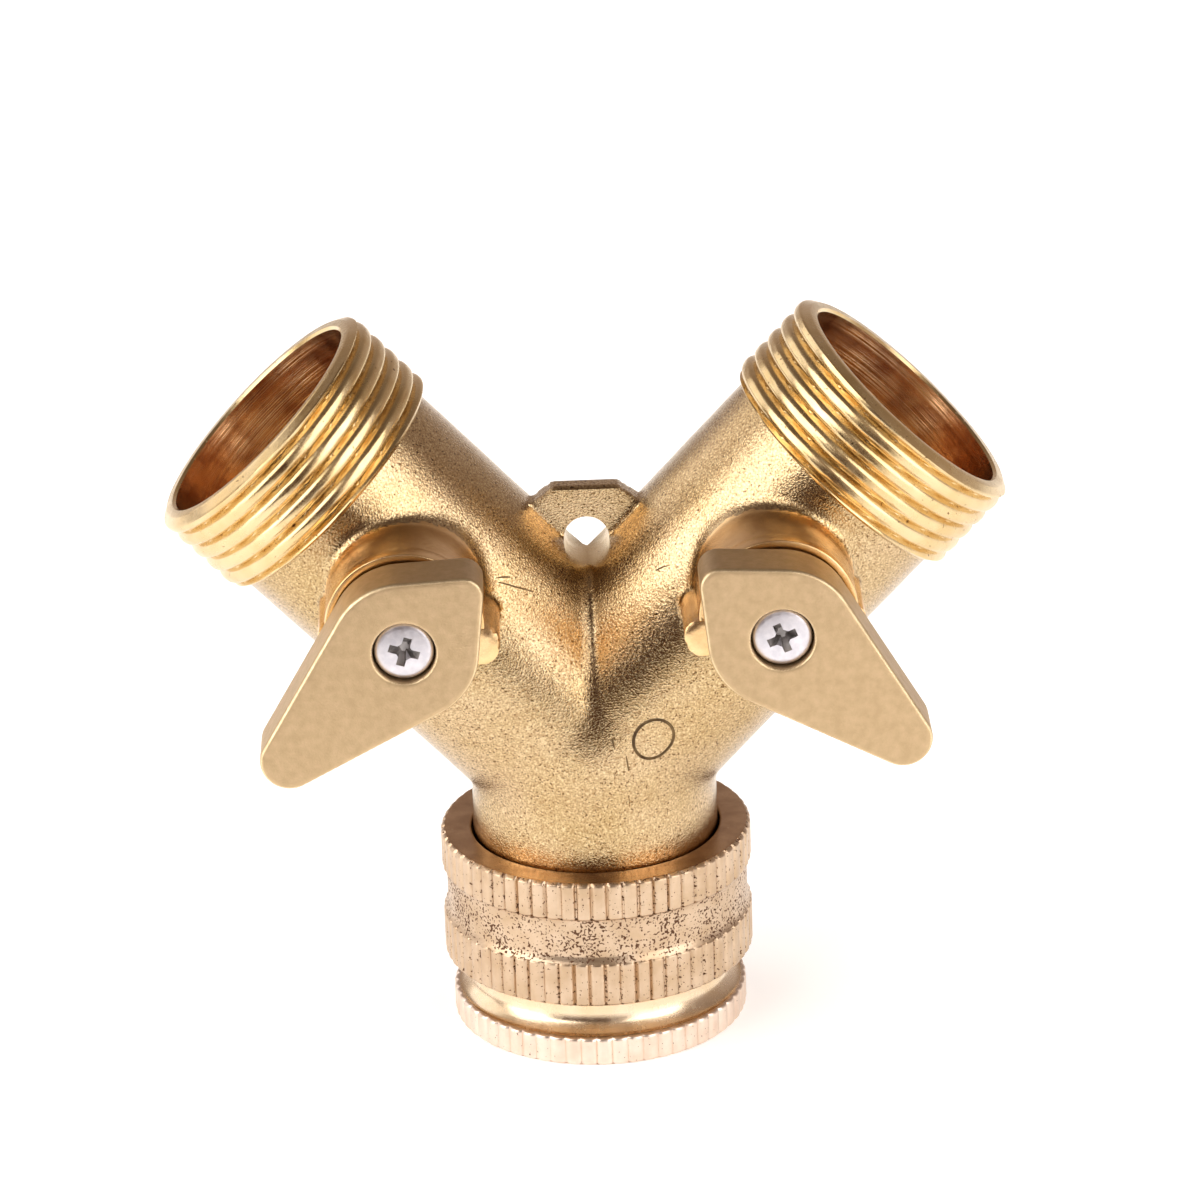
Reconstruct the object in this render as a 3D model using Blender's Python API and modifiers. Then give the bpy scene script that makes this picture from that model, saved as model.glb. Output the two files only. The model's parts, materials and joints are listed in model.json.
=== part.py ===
"""Two-way brass hose splitter with a swivel inlet and two lever ball valves.

Frame: +Z up along the inlet axis, +X to the right, the levers face -Y.
The origin is under the middle of the whole object, on the plane of its bottom face.
"""
from math import acos, cos, pi, radians, sin, sqrt, tau

import bmesh
import bpy
from mathutils import Matrix

MM = 0.001
FIT = 0.3 * MM                      # clearance between two pieces that run in each other

# Driving dimensions: the Y
AXIS_Y = 5.0 * MM                   # the inlet axis and both arm axes lie in this plane
ARM_TILT = radians(43.4)            # each arm leans this far from the vertical
MEET_Z = 29.8 * MM                  # height where the arm axes cross the inlet axis
RIM_REACH = 44.5 * MM               # from that crossing to the outlet rim, along the arm
STEM_REACH = 25.0 * MM              # from that crossing to the valve stem, along the arm
ARM_R = 12.0 * MM
NECK_R = 11.8 * MM
HUB_R = 12.3 * MM
OUTLET_BORE_R = 11.25 * MM
CHAMBER_R = 9.0 * MM
WATERWAY_R = 5.0 * MM
PLENUM_R = 8.0 * MM

# Driving dimensions: G 3/4 thread on the outlets
THREAD_CREST_R = 13.22 * MM
THREAD_ROOT_R = 12.06 * MM
THREAD_PITCH = 25.4 / 14 * MM
THREAD_TURNS = 5
FIRST_CREST = 1.1 * MM              # below the rim
CREST_FLAT = 0.4 * MM

# Driving dimensions: valve boss and lever
BOSS_R = 7.3 * MM
BOSS_FACE = 18.0 * MM               # these are all distances in front of the arm axes
LUG_FACE = 19.1 * MM
LEVER_BACK = 19.4 * MM
LEVER_FACE = 25.0 * MM
LEVER_HUB_R = 6.8 * MM
LEVER_TIP_R = 2.7 * MM
LEVER_TIP_REACH = 15.0 * MM
LEVER_HEEL_R = 1.8 * MM
LEVER_HEEL_REACH = 7.7 * MM
INNER_LUG = (radians(196), radians(12), 9.0 * MM)    # direction, half width, reach; right boss
OUTER_LUG = (radians(355), radians(8), 8.1 * MM)
LUG_INNER_R = 5.1 * MM
BALL_R = 7.5 * MM
SEAT_R = 8.7 * MM
STEM_R = 3.4 * MM
STEM_SQUARE = 4.6 * MM
STEM_FLANGE_R = 4.6 * MM
SCREW_R = 1.45 * MM
SCREW_HEAD_R = 2.75 * MM

# Driving dimensions: swivel nut and inlet adapter
NUT_R = 15.0 * MM
NUT_TOP = 19.5 * MM
NUT_BOTTOM = 6.65 * MM
NUT_BAND_HIGH = 15.75 * MM
NUT_BAND_LOW = 11.05 * MM
NUT_BAND_R = 14.65 * MM
NUT_BORE_R = 13.1 * MM
LIP_BOTTOM = 16.9 * MM
TAIL_END = 14.6 * MM
GROOVE_LOW = 15.6 * MM
GROOVE_R = 10.9 * MM
FLANGE_R = 14.28 * MM
FLANGE_TOP = 2.9 * MM
ADAPTER_TOP = 12.3 * MM
ADAPTER_MALE_R = 12.75 * MM
ADAPTER_NECK_R = 12.6 * MM
ADAPTER_BORE_R = 9.9 * MM           # mean radius of the G 1/2 inlet thread

# Driving dimensions: hanging web between the arms
WEB_HALF = 1.2 * MM
WEB_TOP = 54.4 * MM
WEB_SHOULDER = 52.4 * MM
WEB_HOLE_R = 2.15 * MM
WEB_HOLE_Z = 49.3 * MM

SEGMENTS = 40
SEAT_SEGMENTS = 28
SMALL_SEGMENTS = 20
MERGE = 0.00001
SIDES = {"left": -1, "right": 1}


def clear_scene():
    """Remove every object that is already in the file."""
    for old in list(bpy.data.objects):
        bpy.data.objects.remove(old, do_unlink=True)


def new_collection(name):
    """A collection of the scene."""
    group = bpy.data.collections.new(name)
    bpy.context.scene.collection.children.link(group)
    return group


def make_material(name, colour, roughness, metallic):
    """A plain Principled material."""
    material = bpy.data.materials.new(name)
    material.use_nodes = True
    shader = material.node_tree.nodes["Principled BSDF"]
    shader.inputs["Base Color"].default_value = (*colour, 1.0)
    shader.inputs["Roughness"].default_value = roughness
    shader.inputs["Metallic"].default_value = metallic
    return material


clear_scene()
PARTS = new_collection("hose_splitter")
CUTTERS = new_collection("cutters")
CAST_BRASS = make_material("cast_brass", (0.66, 0.45, 0.20), 0.42, 1.0)
TURNED_BRASS = make_material("turned_brass", (0.78, 0.58, 0.33), 0.25, 1.0)
LEVER_BRASS = make_material("lever_brass", (0.60, 0.44, 0.24), 0.50, 1.0)
PALE_BRASS = make_material("pale_brass", (0.80, 0.63, 0.44), 0.38, 1.0)
CHROME = make_material("chrome", (0.75, 0.75, 0.76), 0.12, 1.0)
ZINC = make_material("zinc", (0.80, 0.80, 0.84), 0.30, 1.0)
SPRING_STEEL = make_material("spring_steel", (0.42, 0.42, 0.43), 0.30, 1.0)
PTFE = make_material("ptfe", (0.88, 0.88, 0.85), 0.45, 0.0)
RUBBER = make_material("rubber", (0.03, 0.03, 0.03), 0.65, 0.0)


def empty(name, location, rotation=(0.0, 0.0, 0.0)):
    """A frame that pieces are parented to."""
    frame = bpy.data.objects.new(name, None)
    frame.location = location
    frame.rotation_euler = rotation
    PARTS.objects.link(frame)
    return frame


def add_mesh(name, build, parent=None, material=None):
    """An object whose mesh the given bmesh function fills; without a material it is a tool."""
    mesh = bpy.data.meshes.new(name)
    shape = bmesh.new()
    build(shape)
    shape.to_mesh(mesh)
    shape.free()
    thing = bpy.data.objects.new(name, mesh)
    place(thing, parent, material)
    return thing


def place(thing, parent, material):
    """Put a piece in the part's collection, or a tool in the cutters'."""
    thing.parent = parent
    if material is None:
        thing.hide_render = True
        thing.display_type = "WIRE"
        CUTTERS.objects.link(thing)
        return
    thing.data.materials.append(material)
    PARTS.objects.link(thing)


def turned(name, profile, parent=None, material=None, segments=SEGMENTS, closed=False):
    """Turn (radius, height) points about local Z; the outer side runs from top to bottom."""
    def build(shape):
        corners = [shape.verts.new((radius, 0.0, height)) for radius, height in profile]
        for start, end in zip(corners, corners[1:]):
            shape.edges.new((start, end))
        if closed:
            shape.edges.new((corners[-1], corners[0]))

    thing = add_mesh(name, build, parent, material)
    screw = thing.modifiers.new("turn", "SCREW")
    screw.axis = "Z"
    screw.angle = tau
    screw.steps = segments
    screw.render_steps = segments
    screw.use_merge_vertices = True
    screw.merge_threshold = MERGE
    screw.use_smooth_shade = True
    if material is None:
        # a tool's corners fall between those of the turned piece that it cuts
        thing.rotation_euler = (0.0, 0.0, pi / segments)
    return thing


def ring(name, outer, inner, low, high, parent, material, segments=SEGMENTS):
    """A plain flat ring or bush about local Z."""
    profile = [(outer, high), (outer, low), (inner, low), (inner, high)]
    return turned(name, profile, parent, material, segments, closed=True)


def box(name, size, centre, parent=None, material=None):
    """A box of the given size about a local centre."""
    def build(shape):
        place_at = Matrix.Translation(centre) @ Matrix.Diagonal((*size, 1.0))
        bmesh.ops.create_cube(shape, size=1.0, matrix=place_at)

    return add_mesh(name, build, parent, material)


def plate(name, outline, low, high, parent=None, material=None):
    """A flat outline in local XY, as thick as from low to high, made a mesh with welded caps."""
    curve = bpy.data.curves.new(name, "CURVE")
    curve.dimensions = "2D"
    curve.fill_mode = "BOTH"
    curve.extrude = (high - low) / 2
    line = curve.splines.new("POLY")
    line.points.add(len(outline) - 1)
    for point, (x, y) in zip(line.points, outline):
        point.co = (x, y, 0.0, 1.0)
    line.use_cyclic_u = True
    drawn = bpy.data.objects.new(name, curve)
    bpy.context.scene.collection.objects.link(drawn)
    seen = drawn.evaluated_get(bpy.context.evaluated_depsgraph_get())
    mesh = bpy.data.meshes.new_from_object(seen)
    bpy.data.objects.remove(drawn, do_unlink=True)
    bpy.data.curves.remove(curve)
    shape = bmesh.new()
    shape.from_mesh(mesh)
    bmesh.ops.remove_doubles(shape, verts=shape.verts, dist=MERGE)
    bmesh.ops.translate(shape, verts=shape.verts, vec=(0.0, 0.0, (low + high) / 2))
    bmesh.ops.recalc_face_normals(shape, faces=shape.faces)
    shape.to_mesh(mesh)
    shape.free()
    thing = bpy.data.objects.new(name, mesh)
    place(thing, parent, material)
    return thing


def boolean(thing, tool, operation="DIFFERENCE", solver="EXACT"):
    """Cut or join with another object."""
    step = thing.modifiers.new(tool.name, "BOOLEAN")
    step.operation = operation
    step.object = tool
    step.solver = solver


def arc(centre, radius, start, end, steps):
    """Points along an arc about a point of the plane, both ends included."""
    turn = (end - start) / steps
    angles = [start + turn * step for step in range(steps + 1)]
    return [(centre[0] + radius * cos(a), centre[1] + radius * sin(a)) for a in angles]


def arm_frame(side):
    """An empty where the arm axes cross, with local Z along this side's arm."""
    tilt = SIDES[side] * ARM_TILT
    return empty(side + "_arm_axis", (0.0, AXIS_Y, MEET_Z), (0.0, tilt, 0.0))


def stem_point(side):
    """Where this side's stem axis crosses its arm axis."""
    x = SIDES[side] * STEM_REACH * sin(ARM_TILT)
    return (x, AXIS_Y, MEET_Z + STEM_REACH * cos(ARM_TILT))


def lever_turn(side):
    """The closed lever's direction, as an angle from +X in the front view."""
    return -ARM_TILT if side == "right" else pi + ARM_TILT


def valve_frame(side):
    """An empty on the stem axis: local Z to the front, local X along the closed lever."""
    frame = empty(side + "_valve_axis", stem_point(side))
    frame.matrix_world = (
        Matrix.Translation(stem_point(side))
        @ Matrix.Rotation(pi / 2, 4, "X")
        @ Matrix.Rotation(lever_turn(side), 4, "Z")
    )
    return frame


# The Y body ---------------------------------------------------------------------------------

def neck_profile():
    """The upright tail, with the groove of its snap ring."""
    return [
        (0.0, MEET_Z), (NECK_R, MEET_Z), (NECK_R, LIP_BOTTOM), (GROOVE_R, LIP_BOTTOM),
        (GROOVE_R, GROOVE_LOW), (NECK_R, GROOVE_LOW), (NECK_R, TAIL_END), (0.0, TAIL_END),
    ]


def arm_profile():
    """One arm from its rim down: thread ridges, then the plain tube."""
    points = [(0.0, RIM_REACH), (THREAD_ROOT_R, RIM_REACH)]
    for turn in range(THREAD_TURNS):
        crest = RIM_REACH - FIRST_CREST - turn * THREAD_PITCH
        points.append((THREAD_CREST_R, crest + CREST_FLAT / 2))
        points.append((THREAD_CREST_R, crest - CREST_FLAT / 2))
        points.append((THREAD_ROOT_R, crest - THREAD_PITCH / 2))
    points += [(ARM_R, points[-1][1] - CREST_FLAT / 2), (ARM_R, 0.0), (0.0, 0.0)]
    return points


SEAT_LENGTH = 3.2 * MM
SEAT_GAP = 4.2 * MM                 # from the ball's middle to a seat's near face
CHAMBER_FLOOR = STEM_REACH - SEAT_GAP - SEAT_LENGTH - FIT
CHAMBER_MOUTH = STEM_REACH + SEAT_GAP + SEAT_LENGTH
RETAINER_R = 9.6 * MM
RETAINER_LENGTH = 3.5 * MM
RETAINER_MOUTH = CHAMBER_MOUTH + RETAINER_LENGTH + 2 * FIT


def outlet_bore_profile():
    """The stepped bore of one arm: outlet, retainer thread, ball chamber, waterway."""
    over = RIM_REACH + 2 * MM
    return [
        (0.0, over), (OUTLET_BORE_R, over), (OUTLET_BORE_R, RETAINER_MOUTH),
        (RETAINER_R + FIT, RETAINER_MOUTH), (RETAINER_R + FIT, CHAMBER_MOUTH),
        (CHAMBER_R, CHAMBER_MOUTH), (CHAMBER_R, CHAMBER_FLOOR),
        (WATERWAY_R, CHAMBER_FLOOR), (WATERWAY_R, 0.0), (0.0, 0.0),
    ]


STEM_FLANGE_BACK = 9.0 * MM         # these are distances in front of the arm axis
STEM_FLANGE_FRONT = 10.2 * MM
THRUST_WASHER = (10.5 * MM, 11.1 * MM)
STEM_POCKET = 11.4 * MM
STEM_BORE_R = STEM_R + FIT


def stem_bore_profile():
    """The bore for the stem through the boss, with the pocket for its flange."""
    over = LUG_FACE + 1 * MM
    return [
        (0.0, over), (STEM_BORE_R, over), (STEM_BORE_R, STEM_POCKET),
        (STEM_FLANGE_R + FIT, STEM_POCKET), (STEM_FLANGE_R + FIT, 4 * MM), (0.0, 4 * MM),
    ]


def lug_outline(lug, side):
    """A stop lug beside the boss, as a sector in the front view."""
    direction, half_width, reach = lug
    if side == "left":
        direction = pi - direction
    outer = arc((0.0, 0.0), reach, direction - half_width, direction + half_width, 3)
    inner = arc((0.0, 0.0), LUG_INNER_R, direction + half_width, direction - half_width, 3)
    return outer + inner


def web_outline():
    """The hanging web, with its lower corners inside the arms."""
    shoulder, brow, low = 5.7 * MM, 3.0 * MM, 39.0 * MM
    half = [(2.2 * MM, low), (shoulder, WEB_SHOULDER), (brow, WEB_TOP)]
    return half + [(-x, z) for x, z in reversed(half)]


def boss_tools(side, front):
    """What one valve adds to the body: its boss and its two stop lugs."""
    boss = [(0.0, BOSS_FACE), (BOSS_R, BOSS_FACE), (BOSS_R, 2 * MM), (0.0, 2 * MM)]
    yield turned(side + "_boss_form", boss, front)
    low = ARM_R - 3 * MM
    yield plate(side + "_inner_lug_form", lug_outline(INNER_LUG, side), low, LUG_FACE, front)
    yield plate(side + "_outer_lug_form", lug_outline(OUTER_LUG, side), low, LUG_FACE, front)


def join(body, tool):
    """Join a form to the body; the exact solver leaves gaps where so many forms meet."""
    boolean(body, tool, "UNION", "MANIFOLD")


def make_body():
    """The one-piece Y: tail, hub, two threaded arms, bosses, lugs and web, then its bores."""
    axis = empty("inlet_axis", (0.0, AXIS_Y, 0.0))
    body = turned("y_body", neck_profile(), axis, CAST_BRASS)

    def hub(shape):
        centre = Matrix.Translation((0.0, 0.0, MEET_Z + 0.3 * MM))
        bmesh.ops.create_uvsphere(shape, u_segments=36, v_segments=18, radius=HUB_R, matrix=centre)

    join(body, add_mesh("hub_form", hub, axis))
    arms = {side: arm_frame(side) for side in SIDES}
    for side, arm in arms.items():
        join(body, turned(side + "_arm_form", arm_profile(), arm))
    face = empty("web_face", (0.0, AXIS_Y, 0.0), (pi / 2, 0.0, 0.0))
    join(body, plate("web_form", web_outline(), -WEB_HALF, WEB_HALF, face))
    bores = []
    for side, arm in arms.items():
        front = empty(side + "_boss_axis", stem_point(side), (pi / 2, 0.0, 0.0))
        for tool in boss_tools(side, front):
            join(body, tool)
        bores.append(turned(side + "_outlet_bore", outlet_bore_profile(), arm))
        bores.append(turned(side + "_stem_bore", stem_bore_profile(), front, None, SMALL_SEGMENTS))
    reach = 6 * MM
    hole = [(0.0, reach), (WEB_HOLE_R, reach), (WEB_HOLE_R, -reach), (0.0, -reach)]
    hook = turned("web_hole", hole, face, None, SMALL_SEGMENTS)
    hook.location = (0.0, WEB_HOLE_Z, 0.0)
    dome = arc((0.0, MEET_Z), PLENUM_R, pi / 2, 0.0, 6)
    under = TAIL_END - 2 * MM
    plenum = [(0.0, dome[0][1])] + dome[1:] + [(PLENUM_R, under), (0.0, under)]
    bores += [hook, turned("inlet_bore", plenum, axis)]
    for tool in bores:
        boolean(body, tool, "DIFFERENCE", "MANIFOLD")


# The valves ---------------------------------------------------------------------------------

def make_ball(side, axis):
    """The ball, with its bore along local X (closed) and the slot for the stem's blade."""
    def sphere(shape):
        bmesh.ops.create_uvsphere(shape, u_segments=26, v_segments=13, radius=BALL_R)

    ball = add_mesh(side + "_ball", sphere, axis, CHROME)
    reach = BALL_R + 1 * MM
    bore = [(0.0, reach), (WATERWAY_R, reach), (WATERWAY_R, -reach), (0.0, -reach)]
    drill = turned(side + "_ball_bore", bore, axis, None, SMALL_SEGMENTS)
    drill.rotation_euler = (0.0, pi / 2, 0.0)
    boolean(ball, drill)
    slot = (3.2 * MM, 2 * BALL_R, 4 * MM)
    boolean(ball, box(side + "_ball_slot", slot, (0.0, 0.0, BALL_R), axis))


def seat_profile(direction):
    """A seat ring about the arm axis, cupped to the ball; direction is -1 inward, 1 outward."""
    cup = BALL_R + FIT
    near = STEM_REACH + direction * SEAT_GAP
    far = STEM_REACH + direction * (SEAT_GAP + SEAT_LENGTH)
    start = acos(SEAT_GAP / cup)
    end = acos(sqrt(cup ** 2 - WATERWAY_R ** 2) / cup)
    face = []
    for step in range(4):
        angle = start + (end - start) * step / 3
        face.append((cup * sin(angle), STEM_REACH + direction * cup * cos(angle)))
    loop = [(SEAT_R, far), (SEAT_R, near)] + face + [(WATERWAY_R, far)]
    return loop if direction > 0 else list(reversed(loop))


def make_seats(side, arm):
    """The inner and outer seats, and the threaded ring that holds them in the arm."""
    turned(side + "_inner_seat", seat_profile(-1), arm, PTFE, SEAT_SEGMENTS, closed=True)
    turned(side + "_outer_seat", seat_profile(1), arm, PTFE, SEAT_SEGMENTS, closed=True)
    low = CHAMBER_MOUTH + FIT
    high = low + RETAINER_LENGTH
    inner = 5.6 * MM
    nut = ring(side + "_seat_retainer", RETAINER_R, inner, low, high, arm, TURNED_BRASS)
    notch = (2 * RETAINER_R + 2 * MM, 2.4 * MM, 3.0 * MM)
    boolean(nut, box(side + "_retainer_notch", notch, (0.0, 0.0, high), arm))


def stem_profile():
    """The stem from its square's root back to its flange, with two ring grooves."""
    front = LEVER_BACK - FIT
    points = [(0.0, front), (STEM_R, front)]
    for middle in ORING_PLACES:
        high, low = middle + ORING_GROOVE / 2, middle - ORING_GROOVE / 2
        points += [(STEM_R, high), (GROOVE_FLOOR_R, high), (GROOVE_FLOOR_R, low), (STEM_R, low)]
    points += [
        (STEM_R, STEM_FLANGE_FRONT), (STEM_FLANGE_R, STEM_FLANGE_FRONT),
        (STEM_FLANGE_R, STEM_FLANGE_BACK), (0.0, STEM_FLANGE_BACK),
    ]
    return points


ORING_PLACES = (15.7 * MM, 13.1 * MM)
ORING_GROOVE = 1.6 * MM
GROOVE_FLOOR_R = 2.2 * MM
ORING_MIDDLE_R = 2.95 * MM
ORING_WIRE_R = 0.45 * MM
SQUARE_FRONT = 22.1 * MM
HEAD_SEAT = 23.3 * MM               # the floor of the screw's recess in the lever
HEAD_TOP = 24.4 * MM


def make_stem(side, axis):
    """The stem: blade in the ball, flange, two ring grooves, square and tapped end."""
    stem = turned(side + "_stem", stem_profile(), axis, TURNED_BRASS, SMALL_SEGMENTS)
    blade = (2.6 * MM, 7.0 * MM, 3.6 * MM)
    boolean(stem, box(side + "_blade_form", blade, (0.0, 0.0, 7.6 * MM), axis), "UNION")
    depth = SQUARE_FRONT - BOSS_FACE
    square = (STEM_SQUARE, STEM_SQUARE, depth)
    middle = (0.0, 0.0, BOSS_FACE + depth / 2)
    boolean(stem, box(side + "_square_form", square, middle, axis), "UNION")
    hole = SCREW_R + FIT
    floor = 17.0 * MM
    tap = [(0.0, LEVER_FACE), (hole, LEVER_FACE), (hole, floor), (0.0, floor)]
    boolean(stem, turned(side + "_tapped_hole", tap, axis, None, 16))


def make_stem_seals(side, axis):
    """The washer behind the stem's flange and the two rubber rings in its grooves."""
    low, high = THRUST_WASHER
    ring(side + "_thrust_washer", STEM_FLANGE_R, STEM_BORE_R, low, high, axis, PTFE, SMALL_SEGMENTS)
    for label, middle in zip(("outer", "inner"), ORING_PLACES):
        section = arc((ORING_MIDDLE_R, middle), ORING_WIRE_R, pi / 2, -3 * pi / 2, 6)[:-1]
        turned(side + "_stem_oring_" + label, section, axis, RUBBER, SMALL_SEGMENTS, closed=True)


def lever_outline():
    """The lever from the front: hub, pointed tip and blunt heel, joined by their tangents."""
    to_tip = acos((LEVER_HUB_R - LEVER_TIP_R) / LEVER_TIP_REACH)
    to_heel = pi - acos((LEVER_HUB_R - LEVER_HEEL_R) / LEVER_HEEL_REACH)
    tip = arc((LEVER_TIP_REACH, 0.0), LEVER_TIP_R, -to_tip, to_tip, 8)
    upper = arc((0.0, 0.0), LEVER_HUB_R, to_tip, to_heel, 4)
    heel = arc((-LEVER_HEEL_REACH, 0.0), LEVER_HEEL_R, to_heel, tau - to_heel, 6)
    lower = [(x, -y) for x, y in reversed(upper)]
    return tip + upper + heel + lower


def stop_tab_outline(side):
    """The tab behind the lever that runs between the two lugs over the lever's quarter turn."""
    inner_edge = INNER_LUG[0] + INNER_LUG[1]
    outer_edge = OUTER_LUG[0] - OUTER_LUG[1]
    play = radians(1.5)
    half_width = (outer_edge - inner_edge - pi / 2) / 2 - play
    middle = inner_edge + half_width + play - (tau - ARM_TILT)
    if side == "left":
        middle = -middle
    outer = arc((0.0, 0.0), LEVER_HUB_R - FIT, middle - half_width, middle + half_width, 5)
    inner = arc((0.0, 0.0), LUG_INNER_R, middle + half_width, middle - half_width, 5)
    return outer + inner


def make_lever(side, axis):
    """The lever: bevelled plate, stop tab, square socket, screw hole and head recess."""
    lever = plate(side + "_lever", lever_outline(), LEVER_BACK, LEVER_FACE, axis, LEVER_BRASS)
    edge = lever.modifiers.new("edge", "BEVEL")
    edge.width = 0.35 * MM
    edge.segments = 1
    edge.limit_method = "ANGLE"
    edge.angle_limit = radians(50)
    tab_low, tab_high = BOSS_FACE + FIT, LEVER_BACK + 1 * MM
    tab = plate(side + "_tab_form", stop_tab_outline(side), tab_low, tab_high, axis)
    boolean(lever, tab, "UNION")
    socket_depth = SQUARE_FRONT + FIT - BOSS_FACE
    socket = (STEM_SQUARE + 2 * FIT, STEM_SQUARE + 2 * FIT, socket_depth)
    middle = (0.0, 0.0, BOSS_FACE + socket_depth / 2)
    boolean(lever, box(side + "_socket", socket, middle, axis))
    over = LEVER_FACE + 1 * MM
    recess_r, hole_r = SCREW_HEAD_R + FIT, SCREW_R + FIT
    recess = [
        (0.0, over), (recess_r, over), (recess_r, HEAD_SEAT), (hole_r, HEAD_SEAT),
        (hole_r, LEVER_BACK), (0.0, LEVER_BACK),
    ]
    boolean(lever, turned(side + "_screw_recess", recess, axis, None, SMALL_SEGMENTS))


def make_screw(side, axis):
    """The lever screw: domed head with a cross slot, and a plain shank for its thread."""
    head = HEAD_SEAT + FIT
    profile = [
        (0.0, HEAD_TOP), (SCREW_HEAD_R - 0.4 * MM, HEAD_TOP), (SCREW_HEAD_R, HEAD_TOP - 0.3 * MM),
        (SCREW_HEAD_R, head), (SCREW_R, head), (SCREW_R, 17.6 * MM), (0.0, 17.6 * MM),
    ]
    screw = turned(side + "_lever_screw", profile, axis, ZINC, SMALL_SEGMENTS)
    long, short, depth = 2.9 * MM, 0.7 * MM, 1.4 * MM
    for label, size in (("slot_a", (long, short, depth)), ("slot_b", (short, long, depth))):
        boolean(screw, box(side + "_screw_" + label, size, (0.0, 0.0, HEAD_TOP), axis))


# The inlet ----------------------------------------------------------------------------------

def make_nut(axis):
    """The swivel nut, with an inward lip above that hangs on the tail's snap ring."""
    rim = 0.4 * MM
    profile = [
        (NUT_R - rim, NUT_TOP), (NUT_R, NUT_TOP - rim), (NUT_R, NUT_BAND_HIGH),
        (NUT_BAND_R, NUT_BAND_HIGH - rim), (NUT_BAND_R, NUT_BAND_LOW + rim),
        (NUT_R, NUT_BAND_LOW), (NUT_R, NUT_BOTTOM + rim), (NUT_R - rim, NUT_BOTTOM),
        (NUT_BORE_R, NUT_BOTTOM), (NUT_BORE_R, LIP_BOTTOM), (NECK_R + FIT, LIP_BOTTOM),
        (NECK_R + FIT, NUT_TOP),
    ]
    turned("swivel_nut", profile, axis, PALE_BRASS, closed=True)


def make_snap_ring(axis):
    """The open spring ring in the tail's groove."""
    low, high = GROOVE_LOW + FIT, LIP_BOTTOM - FIT
    inner, outer = GROOVE_R + FIT, NUT_BORE_R - FIT
    clip = ring("snap_ring", outer, inner, low, high, axis, SPRING_STEEL)
    gap = (4 * MM, 8 * MM, 4 * MM)
    boolean(clip, box("snap_ring_gap", gap, (0.0, outer, (low + high) / 2), axis))


def make_adapter(axis):
    """The inlet adapter: fluted flange, necked waist, male thread and stepped bore."""
    mouth = ADAPTER_BORE_R + 0.6 * MM
    step, throat = 9.5 * MM, 7.5 * MM
    profile = [
        (ADAPTER_MALE_R - 0.5 * MM, ADAPTER_TOP), (ADAPTER_MALE_R, ADAPTER_TOP - 0.5 * MM),
        (ADAPTER_MALE_R, NUT_BOTTOM), (ADAPTER_NECK_R, NUT_BOTTOM - 0.6 * MM),
        (ADAPTER_NECK_R, FLANGE_TOP + 0.6 * MM), (ADAPTER_MALE_R + 0.4 * MM, FLANGE_TOP),
        (FLANGE_R - FIT, FLANGE_TOP), (FLANGE_R, FLANGE_TOP - FIT), (FLANGE_R, FIT),
        (FLANGE_R - FIT, 0.0), (mouth, 0.0), (ADAPTER_BORE_R, 0.6 * MM),
        (ADAPTER_BORE_R, step), (throat, step), (throat, ADAPTER_TOP),
    ]
    turned("inlet_adapter", profile, axis, PALE_BRASS, closed=True)
    washer_high = step - FIT
    washer_low = washer_high - 1.6 * MM
    outer = ADAPTER_BORE_R - FIT
    ring("adapter_washer", outer, throat, washer_low, washer_high, axis, RUBBER)


def make_inlet():
    """The nut, its ring, the tail's flat washer and the adapter, all on the inlet axis."""
    axis = empty("swivel_axis", (0.0, AXIS_Y, 0.0))
    make_nut(axis)
    make_snap_ring(axis)
    low, high = ADAPTER_TOP + FIT, TAIL_END - FIT
    ring("inlet_washer", NUT_BORE_R - 2 * FIT, 8.2 * MM, low, high, axis, RUBBER)
    make_adapter(axis)


def make_valve(side):
    """Everything that one arm holds."""
    axis = valve_frame(side)
    make_seats(side, arm_frame(side))
    make_ball(side, axis)
    make_stem(side, axis)
    make_stem_seals(side, axis)
    make_lever(side, axis)
    make_screw(side, axis)


make_body()
for valve_side in SIDES:
    make_valve(valve_side)
make_inlet()
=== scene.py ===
"""Looks of the brass hose splitter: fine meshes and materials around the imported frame.

Lengths are worked out in millimetres and turned into metres where a mesh is made.
Most forms are written in the Y's own millimetre space: x right, y behind the arms' plane, z up.
"""
import json
from math import acos, atan2, cos, pi, radians, sin, sqrt, tau

import bmesh
import bpy
import numpy as np
from mathutils import Matrix, Vector


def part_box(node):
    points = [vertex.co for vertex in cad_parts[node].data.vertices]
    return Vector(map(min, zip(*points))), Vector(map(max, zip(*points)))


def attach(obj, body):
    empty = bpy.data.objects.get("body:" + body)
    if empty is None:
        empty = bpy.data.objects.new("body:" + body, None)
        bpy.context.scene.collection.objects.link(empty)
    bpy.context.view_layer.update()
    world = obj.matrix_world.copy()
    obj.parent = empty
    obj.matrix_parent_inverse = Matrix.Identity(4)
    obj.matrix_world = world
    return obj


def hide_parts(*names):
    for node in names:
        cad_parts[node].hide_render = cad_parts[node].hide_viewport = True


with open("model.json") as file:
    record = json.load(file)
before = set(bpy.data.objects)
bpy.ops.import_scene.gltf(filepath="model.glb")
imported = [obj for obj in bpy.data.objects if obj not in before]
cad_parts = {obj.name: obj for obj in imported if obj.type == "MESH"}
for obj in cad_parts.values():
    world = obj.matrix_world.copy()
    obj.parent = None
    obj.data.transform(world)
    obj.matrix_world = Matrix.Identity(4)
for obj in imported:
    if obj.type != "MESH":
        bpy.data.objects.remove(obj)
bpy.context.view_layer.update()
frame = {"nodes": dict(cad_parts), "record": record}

MM = 0.001
SIDES = {"left": -1, "right": 1}

# Places, read from the frame

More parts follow.
